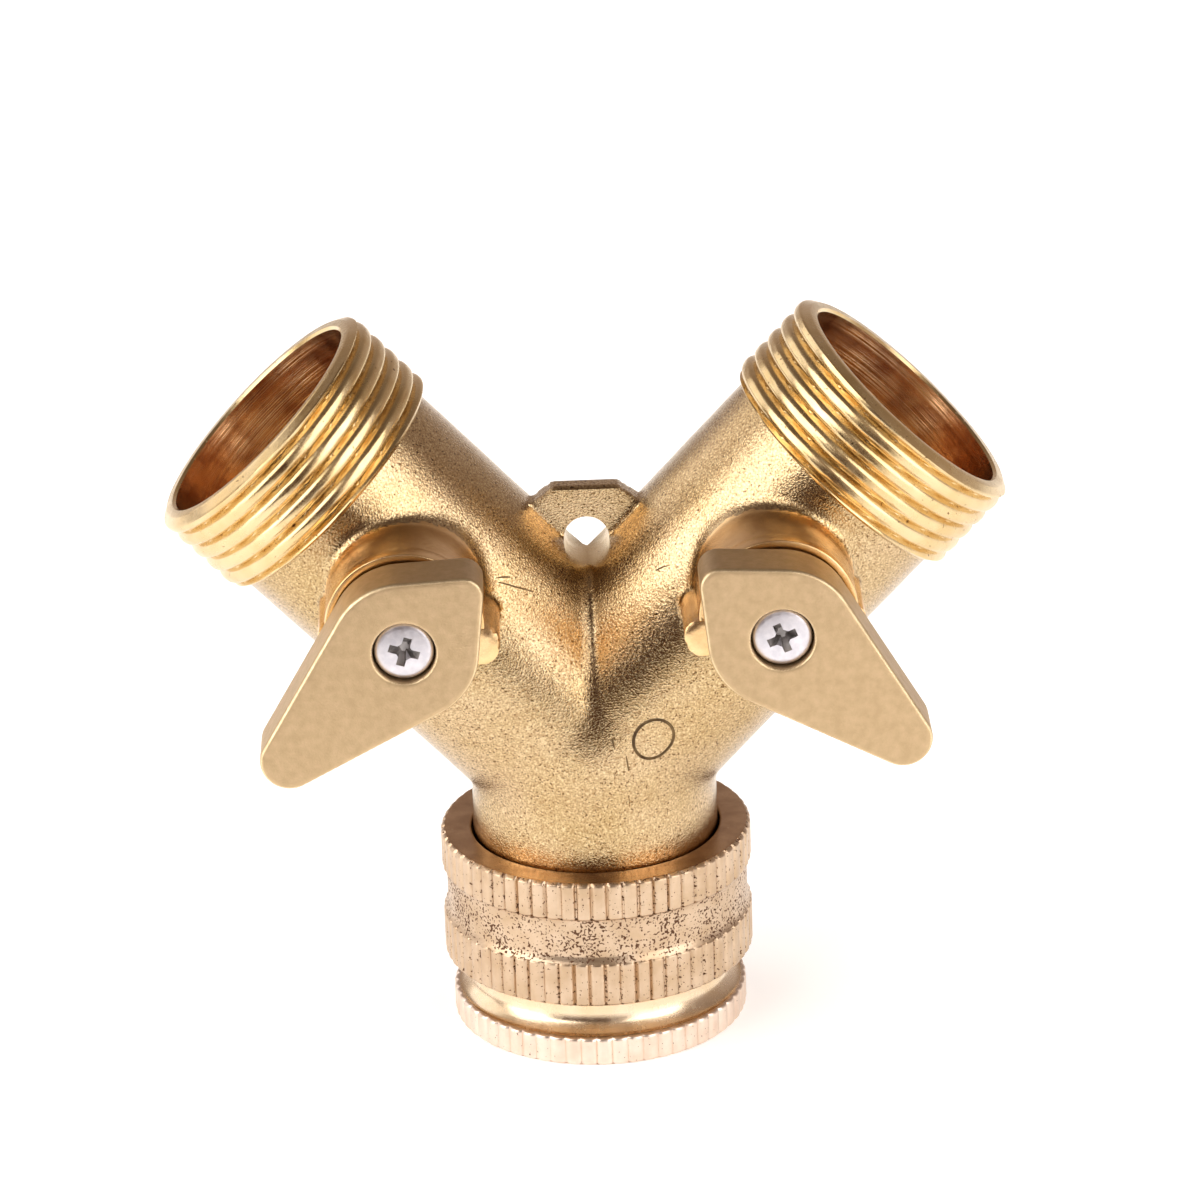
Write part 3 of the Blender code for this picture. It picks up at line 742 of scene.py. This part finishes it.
def make_screw(side, material, recess_material):
    """The lever screw: low domed head, cross recess and threaded shank."""
    seat, crest, root, pitch, end = HEAD_SEAT + 0.3, 1.45, 1.2, 0.5, 17.6
    crown, crown_fall, crown_steps = HEAD_TOP + 0.12, 0.16, 8
    profile = [(0.0, crown)]
    for step in range(1, crown_steps + 1):
        share = step / crown_steps
        profile.append(((HEAD_R - 0.3) * share, crown - crown_fall * share ** 2))
    profile += [(HEAD_R - 0.12, HEAD_TOP - 0.16), (HEAD_R - 0.02, HEAD_TOP - 0.32)]
    profile += [(HEAD_R, seat + 0.1), (HEAD_R - 0.1, seat), (crest, seat)]
    height = seat - 0.4
    while height > end + 0.4:
        profile += [(crest, height), (root, height - pitch / 2)]
        height -= pitch
    profile += [(root - 0.1, end + 0.1), (0.0, end)]
    screw = spun(side + "_screw_fine", profile, 64, valve_matrix(side))
    lean = radians(22) if side == "right" else radians(-14)
    for turn, length, width in ((0.0, 3.1, 0.85), (pi / 2, 3.2, 0.8), (pi / 4, 1.75, 1.5)):
        carve(screw, cross_tool(side, lean + ARM_TILT + turn, length, width))
    sharpen(screw, 30)
    add_materials(screw, material, recess_material)
    mark_recess(screw, side)
    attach(screw, side + "_valve")
    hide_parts(side + "_lever_screw")


def make_ball(side, material):
    """The polished ball, with its bore across the arm because the valve is closed."""
    edge = acos(PORT_R / BALL_R)
    turns = np.linspace(edge, -edge, 40)
    loop = [(BALL_R * cos(turn), BALL_R * sin(turn)) for turn in turns]
    loop = [(PORT_R, loop[0][1] - 0.1)] + loop[1:-1] + [(PORT_R, loop[-1][1] + 0.1)]
    bore_turn = valve_matrix(side) @ Matrix.Rotation(pi / 2, 4, "Y")
    ball = turned(side + "_ball_fine", loop, 96, bore_turn)
    slot_width, slot_depth = 3.2, 2.0
    low = (-slot_width / 2, -BALL_R - 0.5, BALL_R - slot_depth)
    high = (slot_width / 2, BALL_R + 0.5, BALL_R + slot_depth)
    carve(ball, block(side + "_slot", low, high, valve_matrix(side)))
    sharpen(ball, 40)
    add_materials(ball, material)
    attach(ball, side + "_valve")
    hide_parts(side + "_ball")


def make_retainer(side, material):
    """The threaded ring that holds the seats, with its key notch."""
    low, high, outer, inner = 32.7, 36.2, 9.6, 5.6
    loop = softened([(outer, high), (outer, low), (inner, low), (inner, high)], 0.4)
    ring = turned(side + "_retainer_fine", loop, 128, arm_matrix(side))
    reach, notch_width, notch_depth = 11.0, 2.4, 1.5
    notch_low = (-reach, -notch_width / 2, high - notch_depth)
    notch_high = (reach, notch_width / 2, high + notch_depth)
    carve(ring, block(side + "_notch", notch_low, notch_high, arm_matrix(side)))
    sharpen(ring, 35)
    add_materials(ring, material)
    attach(ring, "body")
    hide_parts(side + "_seat_retainer")


# The inlet

def flute_depth(angle, count, depth, wobble):
    """Straight narrow grooves around a band, with broad slightly crowned lands."""
    land_share, crown = 0.7, 0.11
    phase = angle * count / tau + wobble
    across = np.abs((phase % 1.0) - 0.5) * 2
    groove = np.clip((across - land_share) / (1 - land_share), 0.0, 1.0)
    return depth * groove + crown * across ** 2


def mark_hollows(thing, radius, depth):
    """Store how far each point lies inside a radius, where dirt would stay."""
    points = rows(thing.data.vertices, "co") / MM
    radial = np.hypot(points[:, 0], points[:, 1] - AXIS_Y)
    store(thing, "hollow", np.clip((radius - radial) / depth, 0.0, 1.0))


def nut_shape(angle, radius, height):
    """Radii of the nut with its flutes, whose depth and place vary a little."""
    upper = height > (BAND_HIGH + BAND_LOW) / 2
    wobble = np.where(upper, 0.05 * np.sin(3 * angle), 0.35 + 0.05 * np.sin(5 * angle))
    depth = flute_depth(angle, FLUTES, FLUTE_DEPTH, wobble)
    depth = depth * (0.85 + 0.2 * np.sin(angle * 23) * np.sin(angle * 9 + 2))
    in_band = (height > BAND_HIGH - 0.05) | (height < BAND_LOW + 0.05)
    near_edge = np.clip((radius - (NUT_R - 0.36)) / 0.1, 0.0, 1.0) * in_band
    return radius - depth * near_edge


def make_nut(material, annulus_material_painted_dark):
    """The swivel nut: two fluted bands, a dished band between them and the inner lip."""
    dish_r, bore_r, lip, lip_r, corner = 14.6, 13.1, 16.9, NECK_R + 0.2, 0.28
    corners = [
        (NUT_R - corner, NUT_HIGH), (NUT_R, NUT_HIGH - corner), (NUT_R, BAND_HIGH + 0.12),
        (NUT_R - 0.1, BAND_HIGH), (dish_r + 0.08, BAND_HIGH - 0.1),
        (dish_r - 0.03, BAND_HIGH - 0.55), (dish_r - 0.05, BAND_LOW + 0.7),
        (dish_r + 0.14, BAND_LOW + 0.22), (NUT_R - 0.1, BAND_LOW), (NUT_R, BAND_LOW - 0.1),
        (NUT_R, NUT_LOW + corner), (NUT_R - corner, NUT_LOW), (bore_r + 0.3, NUT_LOW),
        (bore_r, NUT_LOW + 0.3), (bore_r, lip), (lip_r, lip), (lip_r, NUT_HIGH - 0.2),
        (lip_r + 0.2, NUT_HIGH),
    ]
    loop = filled(softened(corners, 0.1, 2), 0.5)
    nut = turned("swivel_nut_fine", loop, FLUTES * 12, Y_SPACE, nut_shape)
    sharpen(nut, 40)
    mark_hollows(nut, NUT_R, FLUTE_DEPTH)
    add_materials(nut, material, annulus_material_painted_dark)
    # The top ring and the bore take the darker brown second material, a painted dark reflection on
    # the ring.
    centres = face_centres(nut)
    radial = np.hypot(centres[:, 0], centres[:, 1])
    smooth = (radial < NUT_R - 0.4) & ((centres[:, 2] > NUT_HIGH - 0.3) | (radial < bore_r + 0.4))
    use_slots(nut, smooth)
    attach(nut, "nut")
    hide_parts("swivel_nut")


def adapter_shape(angle, radius, height):
    """Radii of the adapter with its flange's flutes, male thread and inner thread."""
    male_root, male_crest, female_crest, female_root = 12.2, 13.0, 9.35, 10.4
    depth = flute_depth(angle, FLANGE_FLUTES, 0.16, 0.04 * np.sin(4 * angle))
    near_edge = np.clip((radius - (FLANGE_R - 0.4)) / 0.1, 0.0, 1.0)
    radius = radius - depth * near_edge
    turns = height / THREAD_PITCH - angle / tau
    male = thread_radius(turns, male_root, male_crest)
    male = np.minimum(male, 12.45 + (ADAPTER_TOP - height))
    runout = np.maximum(height - ADAPTER_THREAD_LOW + 0.3, 0.0)
    male = np.minimum(male, ADAPTER_NECK_R + runout)
    outer = (radius > ADAPTER_NECK_R + 0.05) & (height > ADAPTER_THREAD_LOW - 0.2)
    radius = np.where(outer, male, radius)
    female = thread_radius(turns + 0.5, female_crest, female_root)
    female = np.maximum(female, 10.6 - np.maximum(height - 0.2, 0.0))
    inner = (radius < 10.3) & (radius > ADAPTER_BORE_R - 0.2)
    inner &= (height > 0.3) & (height < ADAPTER_STEP - 0.3)
    return np.where(inner, female, radius)


def make_adapter(flange_material, bore_material):
    """The adapter: fluted flange, polished hollow neck, male thread and inner thread."""
    flange_top, throat_r, thread_r = 2.9, 7.5, 12.9
    corners = [
        (thread_r - 0.5, ADAPTER_TOP), (thread_r, ADAPTER_TOP - 0.5),
        (thread_r, ADAPTER_THREAD_LOW), (12.45, ADAPTER_THREAD_LOW - 0.45),
        (ADAPTER_NECK_R, 5.4), (ADAPTER_NECK_R, 4.6), (12.5, 3.9), (13.0, 3.35),
        (13.55, flange_top + 0.02), (FLANGE_R - 0.2, flange_top), (FLANGE_R, flange_top - 0.2),
        (FLANGE_R, 0.3), (FLANGE_R - 0.3, 0.0), (ADAPTER_BORE_R + 0.9, 0.0),
        (ADAPTER_BORE_R, 0.7), (ADAPTER_BORE_R, ADAPTER_STEP), (throat_r, ADAPTER_STEP),
        (throat_r, ADAPTER_TOP),
    ]
    loop = filled(softened(corners, 0.25, 2), 0.16)
    adapter = turned("inlet_adapter_fine", loop, FLANGE_FLUTES * 6, Y_SPACE, adapter_shape)
    sharpen(adapter, 40)
    add_materials(adapter, flange_material, bore_material)
    centres = face_centres(adapter)
    radial = np.hypot(centres[:, 0], centres[:, 1])
    polished = (radial < 13.75) & (centres[:, 2] > 2.8)
    use_slots(adapter, polished | (radial < 10.7))
    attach(adapter, "adapter")
    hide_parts("inlet_adapter")


# Materials

class Surface:
    """A Principled material and short ways to add the nodes that drive it."""

    def __init__(self, name, metallic=1.0):
        self.material = bpy.data.materials.new(name)
        self.material.use_nodes = True
        self.tree = self.material.node_tree
        self.shader = self.tree.nodes["Principled BSDF"]
        self.shader.inputs["Metallic"].default_value = metallic
        self.place = self.tree.nodes.new("ShaderNodeTexCoord").outputs["Object"]
        self.normal = None

    def link(self, source, target):
        """Join an output to an input."""
        self.tree.links.new(source, target)

    def noise(self, size, detail=3.0, rough=0.55, stretch=None):
        """Noise with features of about this size in millimetres."""
        node = self.tree.nodes.new("ShaderNodeTexNoise")
        node.inputs["Scale"].default_value = 1.0 / (size * MM)
        node.inputs["Detail"].default_value = detail
        node.inputs["Roughness"].default_value = rough
        source = self.place
        if stretch is not None:
            mapping = self.tree.nodes.new("ShaderNodeMapping")
            mapping.inputs["Scale"].default_value = stretch
            self.link(self.place, mapping.inputs["Vector"])
            source = mapping.outputs["Vector"]
        self.link(source, node.inputs["Vector"])
        return node.outputs["Fac"]

    def ramp(self, source, low, high, start=0.0, end=1.0):
        """Map a value range to another, held at its ends."""
        node = self.tree.nodes.new("ShaderNodeMapRange")
        node.inputs["From Min"].default_value = low
        node.inputs["From Max"].default_value = high
        node.inputs["To Min"].default_value = start
        node.inputs["To Max"].default_value = end
        self.link(source, node.inputs["Value"])
        return node.outputs["Result"]

    def maths(self, operation, first, second):
        """One step of arithmetic on outputs or numbers."""
        node = self.tree.nodes.new("ShaderNodeMath")
        node.operation = operation
        for index, value in enumerate((first, second)):
            if isinstance(value, (int, float)):
                node.inputs[index].default_value = value
            else:
                self.link(value, node.inputs[index])
        return node.outputs["Value"]

    def mix(self, factor, first, second):
        """A colour between two colours or colour outputs."""
        node = self.tree.nodes.new("ShaderNodeMix")
        node.data_type = "RGBA"
        self.link(factor, node.inputs[0])
        for index, value in ((6, first), (7, second)):
            if isinstance(value, tuple):
                node.inputs[index].default_value = (*value, 1.0)
            else:
                self.link(value, node.inputs[index])
        return node.outputs[2]

    def blend(self, source, first, second, low=0.35, high=0.65):
        """From one colour to another as a noise goes up from low to high."""
        return self.mix(self.ramp(source, low, high), first, second)

    def bump(self, height, depth, strength=1.0):
        """Add a bump of this depth in millimetres over the ones before it."""
        node = self.tree.nodes.new("ShaderNodeBump")
        node.inputs["Strength"].default_value = strength
        node.inputs["Distance"].default_value = depth * MM
        self.link(height, node.inputs["Height"])
        if self.normal is not None:
            self.link(self.normal, node.inputs["Normal"])
        self.normal = node.outputs["Normal"]

    def stored(self, name):
        """A value kept on the mesh's points."""
        node = self.tree.nodes.new("ShaderNodeAttribute")
        node.attribute_name = name
        return node.outputs["Fac"]

    def turning_lines(self, pitch):
        """Fine lines across either arm's axis."""
        split = self.tree.nodes.new("ShaderNodeSeparateXYZ")
        self.link(self.place, split.inputs["Vector"])
        sideways = self.maths("ABSOLUTE", split.outputs["X"], 0.0)
        outward = self.maths("MULTIPLY", sideways, sin(ARM_TILT))
        upward = self.maths("MULTIPLY", split.outputs["Z"], cos(ARM_TILT))
        node = self.tree.nodes.new("ShaderNodeTexNoise")
        node.noise_dimensions = "1D"
        node.inputs["Scale"].default_value = 1.0 / (pitch * MM)
        node.inputs["Detail"].default_value = 1.0
        self.link(self.maths("ADD", outward, upward), node.inputs["W"])
        return node.outputs["Fac"]

    def finish(self, colour, roughness):
        """Connect colour and roughness, each an output or a constant, and the bump."""
        for name, value in (("Base Color", colour), ("Roughness", roughness)):
            socket = self.shader.inputs[name]
            if isinstance(value, tuple):
                socket.default_value = (*value, 1.0)
            elif isinstance(value, float):
                socket.default_value = value
            else:
                self.link(value, socket)
        if self.normal is not None:
            self.link(self.normal, self.shader.inputs["Normal"])
        return self.material


def cast_brass():
    """Blasted forging: coarse bright grain, dark specks and slow changes of tone."""
    surface = Surface("cast_brass_blasted")
    gold = surface.blend(surface.noise(9.0, 2.0), (0.505, 0.35, 0.165), (0.565, 0.41, 0.235))
    grain = surface.noise(0.19, 2.0, 0.6)
    light = surface.mix(surface.ramp(grain, 0.5, 0.68, 0.0, 0.45), gold, (1.0, 0.84, 0.52))
    dark = surface.mix(surface.ramp(grain, 0.48, 0.34, 0.0, 0.6), light, (0.33, 0.18, 0.07))
    patches = surface.ramp(surface.noise(6.0, 2.0), 0.4, 0.65, 0.0, 0.03)
    specks = surface.maths("ADD", surface.noise(0.23, 1.0, 0.4), patches)
    worn = surface.blend(specks, dark, (0.17, 0.09, 0.035), 0.655, 0.70)
    surface.bump(grain, 0.05, 0.9)
    surface.bump(surface.noise(0.7, 2.0), 0.015, 0.7)
    roughness = surface.ramp(grain, 0.3, 0.7, 0.20, 0.12)
    return surface.finish(worn, roughness)


def thread_brass():
    """Turned thread: bright, with faint tool lines and small dark nicks."""
    surface = Surface("thread_brass_turned")
    gold = surface.blend(surface.noise(4.0, 2.0), (0.72, 0.52, 0.25), (0.80, 0.62, 0.35))
    nicks = surface.noise(0.45, 2.0, 0.5)
    worn = surface.blend(nicks, gold, (0.22, 0.12, 0.05), 0.70, 0.74)
    surface.bump(surface.turning_lines(0.10), 0.006, 0.5)
    surface.bump(surface.noise(0.5, 2.0), 0.015, 0.5)
    roughness = surface.ramp(surface.noise(1.2), 0.3, 0.7, 0.19, 0.30)
    return surface.finish(worn, roughness)


def bore_brass():
    """Bored wall: reddish brass with very fine turning lines; its wide dark and bright patches are
    painted shade and painted glow.
    """
    surface = Surface("bore_brass_turned")
    # Dark red to bright orange in broad patches: tone that varies, widened into painted shade and
    # painted glow in the bore.
    reds_shade_and_glow = (0.50, 0.26, 0.13), (0.95, 0.64, 0.36)
    red_shade_and_glow = surface.blend(surface.noise(3.5), *reds_shade_and_glow, 0.38, 0.62)
    specks = surface.noise(0.35, 2.0, 0.6)
    colour = surface.blend(specks, red_shade_and_glow, (0.95, 0.72, 0.45), 0.71, 0.74)
    surface.bump(surface.turning_lines(0.16), 0.035, 0.9)
    surface.bump(surface.noise(0.3, 2.0), 0.02, 0.5)
    return surface.finish(colour, 0.24)


def satin_brass(name, colours):
    """Smooth satin brass, as on the bosses' sides and the nut's top ring."""
    surface = Surface(name)
    brown = surface.blend(surface.noise(2.2), *colours)
    specks = surface.noise(0.3, 2.0, 0.6)
    colour = surface.blend(specks, brown, (0.97, 0.85, 0.62), 0.70, 0.74)
    surface.bump(surface.noise(0.35), 0.018, 0.6)
    return surface.finish(colour, 0.27)


def lever_brass():
    """Matte lever: even fine grain, bright where its edges are rubbed."""
    surface = Surface("lever_brass_matte")
    grain = surface.noise(0.22, 4.0, 0.6)
    tan = (0.54, 0.39, 0.22), (0.63, 0.46, 0.27)
    base = surface.blend(surface.noise(0.9, 4.0, 0.6), *tan, 0.35, 0.7)
    patchy = surface.ramp(surface.noise(1.6), 0.3, 0.6, 0.3, 0.9)
    rubbed = surface.maths("MULTIPLY", surface.ramp(surface.stored("edge"), 0.5, 0.98), patchy)
    colour = surface.mix(rubbed, base, (0.95, 0.78, 0.48))
    surface.bump(grain, 0.05, 0.8)
    roughness = surface.ramp(rubbed, 0.0, 1.0, 0.5, 0.3)
    return surface.finish(colour, roughness)


def nut_brass(name, colours, dirt):
    """Pale fluted brass; dark pits gather in the hollows by the amount of dirt."""
    surface = Surface(name)
    pale = surface.blend(surface.noise(2.5), *colours)
    hollow = surface.stored("hollow")
    patches = surface.ramp(surface.noise(3.2, 2.0), 0.36, 0.60, 0.4, 1.0)
    amount = surface.maths("MULTIPLY", surface.maths("ADD", hollow, 0.2), patches)
    amount = surface.maths("MULTIPLY", amount, 0.16 * dirt)
    pits = surface.maths("ADD", surface.noise(0.25, 1.0, 0.5), amount)
    pits = surface.ramp(pits, 0.725, 0.755)
    colour = surface.mix(pits, pale, (0.17, 0.09, 0.055))
    surface.bump(surface.noise(0.3, 3.0, 0.6), 0.035, 0.6)
    surface.bump(surface.maths("SUBTRACT", 1.0, pits), 0.04, 0.8)
    roughness = surface.ramp(pits, 0.0, 1.0, 0.33, 0.7)
    return surface.finish(colour, roughness)


def polished_brass():
    """The adapter's polished neck and bore."""
    surface = Surface("adapter_brass_polished")
    gold = surface.blend(surface.noise(5.0, 2.0), (0.82, 0.62, 0.38), (0.90, 0.73, 0.52))
    surface.bump(surface.noise(0.3, 2.0, 0.5, (1.0, 1.0, 6.0)), 0.012, 0.5)
    return surface.finish(gold, surface.ramp(surface.noise(1.0), 0.3, 0.7, 0.2, 0.3))


def zinc_plate():
    """Bright bluish zinc."""
    surface = Surface("zinc_plate")
    greys = (0.68, 0.66, 0.70), (0.82, 0.79, 0.82)
    colour = surface.blend(surface.noise(0.8), *greys, 0.35, 0.7)
    surface.bump(surface.noise(0.4), 0.02, 0.5)
    return surface.finish(colour, surface.ramp(surface.noise(0.5), 0.3, 0.7, 0.3, 0.45))


# Two colours, roughness range, metallic, grain size and bump depth in millimetres
PLAIN_FINISHES = {
    "chrome_ball": (((0.70, 0.70, 0.72), (0.80, 0.80, 0.80)), (0.06, 0.12), 1.0, 1.0, 0.003),
    "ptfe_seat": (((0.80, 0.80, 0.76), (0.88, 0.88, 0.85)), (0.4, 0.55), 0.0, 0.4, 0.01),
    "rubber_black": (((0.02, 0.02, 0.02), (0.05, 0.05, 0.05)), (0.5, 0.75), 0.0, 0.3, 0.03),
    "spring_steel_ring": (((0.36, 0.36, 0.37), (0.5, 0.5, 0.5)), (0.2, 0.4), 1.0, 0.5, 0.01),
    # screw_recess: a darker grey for the walls of the screw's cross recess.
    "screw_recess": (((0.30, 0.28, 0.27), (0.62, 0.59, 0.58)), (0.3, 0.5), 1.0, 0.3, 0.02),
    # mark_groove_dark: dark brown for the grooves of the pin mark and the creases.
    "mark_groove_dark": (((0.10, 0.06, 0.03), (0.30, 0.20, 0.09)), (0.5, 0.7), 0.6, 0.3, 0.03),
}


def plain(name, colours, roughness, metallic, grain, depth):
    """A simple two-tone finish with a fine bump, for the inner pieces and small recesses."""
    surface = Surface(name, metallic)
    colour = surface.blend(surface.noise(grain * 6), *colours)
    surface.bump(surface.noise(grain), depth, 0.6)
    return surface.finish(colour, surface.ramp(surface.noise(grain * 3), 0.3, 0.7, *roughness))


# Stage

def make_floor():
    """A wide pale floor under the object."""
    half = 4000
    surface = Surface("floor_white", 0.0)
    whites = (0.93, 0.93, 0.93), (0.95, 0.95, 0.95)
    colour = surface.blend(surface.noise(60.0, 2.0), *whites, 0.3, 0.7)
    surface.shader.inputs["Emission Color"].default_value = (1.0, 1.0, 1.0, 1.0)
    surface.shader.inputs["Emission Strength"].default_value = 0.30
    corners = [(-half, -half, 0), (half, -half, 0), (half, half, 0), (-half, half, 0)]
    floor = mesh_object("floor", corners, [(0, 1, 2, 3)])
    add_materials(floor, surface.finish(colour, 0.6))


def make_world():
    """Dim warm surroundings, darker overhead, so that the brass has something to reflect."""
    world = bpy.data.worlds.new("studio")
    bpy.context.scene.world = world
    world.use_nodes = True
    tree = world.node_tree
    background = tree.nodes["Background"]
    place = tree.nodes.new("ShaderNodeTexCoord").outputs["Generated"]
    split = tree.nodes.new("ShaderNodeSeparateXYZ")
    tree.links.new(place, split.inputs["Vector"])
    ramp = tree.nodes.new("ShaderNodeValToRGB")
    tree.links.new(split.outputs["Z"], ramp.inputs["Fac"])
    stops = ramp.color_ramp.elements
    stops[0].position, stops[0].color = 0.0, (0.42, 0.36, 0.34, 1.0)
    stops[1].position, stops[1].color = 1.0, (0.10, 0.075, 0.06, 1.0)
    stop = stops.new(0.45)
    stop.color = (0.26, 0.20, 0.17, 1.0)
    tree.links.new(ramp.outputs["Color"], background.inputs["Color"])
    background.inputs["Strength"].default_value = 1.4


def area_light(name, place, target, size, power):
    """A soft rectangular lamp aimed at a point; all in metres and watts."""
    data = bpy.data.lights.new(name, "AREA")
    data.shape = "RECTANGLE"
    data.size, data.size_y = size
    data.energy = power
    lamp = placed(name, data)
    lamp.location = place
    lamp.rotation_euler = (Vector(target) - Vector(place)).to_track_quat("-Z", "Y").to_euler()
    return lamp


def make_lights():
    """A soft box on either side, and one overhead that only whitens the floor."""
    middle = (0.0, 0.0, 0.04)
    area_light("box_left", (-0.70, -0.42, 0.40), middle, (1.0, 0.75), 6.4)
    area_light("box_right", (0.58, -0.50, 0.36), middle, (0.7, 0.7), 3.6)
    area_light("box_behind", (-0.62, 0.40, 0.36), middle, (0.5, 0.5), 0.8)
    top = area_light("box_top", (0.0, 0.05, 1.0), middle, (1.4, 1.4), 8.5)
    top.visible_glossy = False


def make_flag():
    """A dark card low in front, out of the picture, that darkens what faces the camera."""
    surface = Surface("flag_dark", 0.0)
    darks = (0.05, 0.02, 0.01), (0.07, 0.03, 0.018)
    colour = surface.blend(surface.noise(40.0, 2.0), *darks, 0.3, 0.7)
    left, right, low, high, front = -158, 30, 9, 112, -150
    corners = [(left, front, low), (right, front, low), (right, front, high), (left, front, high)]
    flag = mesh_object("flag", corners, [(0, 1, 2, 3)])
    add_materials(flag, surface.finish(colour, 0.8))
    flag.visible_camera = False
    flag.visible_shadow = False
    flag.visible_diffuse = False


def make_camera():
    """The camera at the photograph's angle."""
    azimuth, elevation, roll = radians(-0.89), radians(22.1), radians(-1.8)
    distance = 512.0
    aim = Vector((1.1, AXIS_Y - 0.6, 42.65))
    back = Vector((sin(azimuth) * cos(elevation), -cos(azimuth) * cos(elevation), sin(elevation)))
    right = (-back).cross(Vector((0.0, 0.0, 1.0))).normalized()
    up = right.cross(-back)
    level_right = right * cos(roll) + up * sin(roll)
    level_up = up * cos(roll) - right * sin(roll)
    data = bpy.data.cameras.new("camera")
    data.sensor_width = 36.0
    data.lens = 161.4
    data.clip_end = 20.0
    camera = placed("camera", data)
    turn = Matrix((level_right, level_up, back)).transposed()
    camera.matrix_world = Matrix.Translation((aim + back * distance) * MM) @ turn.to_4x4()
    bpy.context.scene.camera = camera


def finish_inner_nodes(materials):
    """Give every CAD node that stays visible its procedural material."""
    slots = {entry["node"]: entry["material_slot"] for entry in frame["record"]["subparts"]}
    for name, node in frame["nodes"].items():
        material = materials.get(slots[name])
        if material is None:
            continue
        node.data.materials.clear()
        add_materials(node, material)


def main():
    """Build every piece, then the stage."""
    bpy.context.scene.view_settings.view_transform = "Standard"
    turned_metal, bore_metal, polished = thread_brass(), bore_brass(), polished_brass()
    lever_metal, zinc = lever_brass(), zinc_plate()
    minor = {name: plain(name, *finish) for name, finish in PLAIN_FINISHES.items()}
    body = make_body()
    boss_metal = satin_brass("boss_brass_satin", ((0.80, 0.52, 0.24), (0.94, 0.66, 0.35)))
    body_zones(body, cast_brass(), turned_metal, bore_metal, minor["mark_groove_dark"], boss_metal)
    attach(body, "body")
    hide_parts("y_body")
    for side in SIDES:
        make_lever(side, lever_metal)
        make_screw(side, zinc, minor["screw_recess"])
        make_ball(side, minor["chrome_ball"])
        make_retainer(side, turned_metal)
    nut_colours = ((0.56, 0.40, 0.255), (0.66, 0.50, 0.35))
    flange_colours = ((0.82, 0.65, 0.52), (0.90, 0.76, 0.64))
    # Darker brown for the nut's top ring: a painted dark reflection of the dim surroundings.
    ring_metal_painted_dark = satin_brass("nut_ring_satin_painted_dark", ((0.46, 0.28, 0.15), (0.62, 0.41, 0.24)))
    make_nut(nut_brass("nut_brass_pale", nut_colours, 1.0), ring_metal_painted_dark)
    make_adapter(nut_brass("flange_brass_pale", flange_colours, 0.0), polished)
    finish_inner_nodes({
        "turned_brass": turned_metal, "ptfe": minor["ptfe_seat"],
        "rubber": minor["rubber_black"], "spring_steel": minor["spring_steel_ring"],
    })
    make_floor()
    make_world()
    make_lights()
    make_flag()
    make_camera()


main()
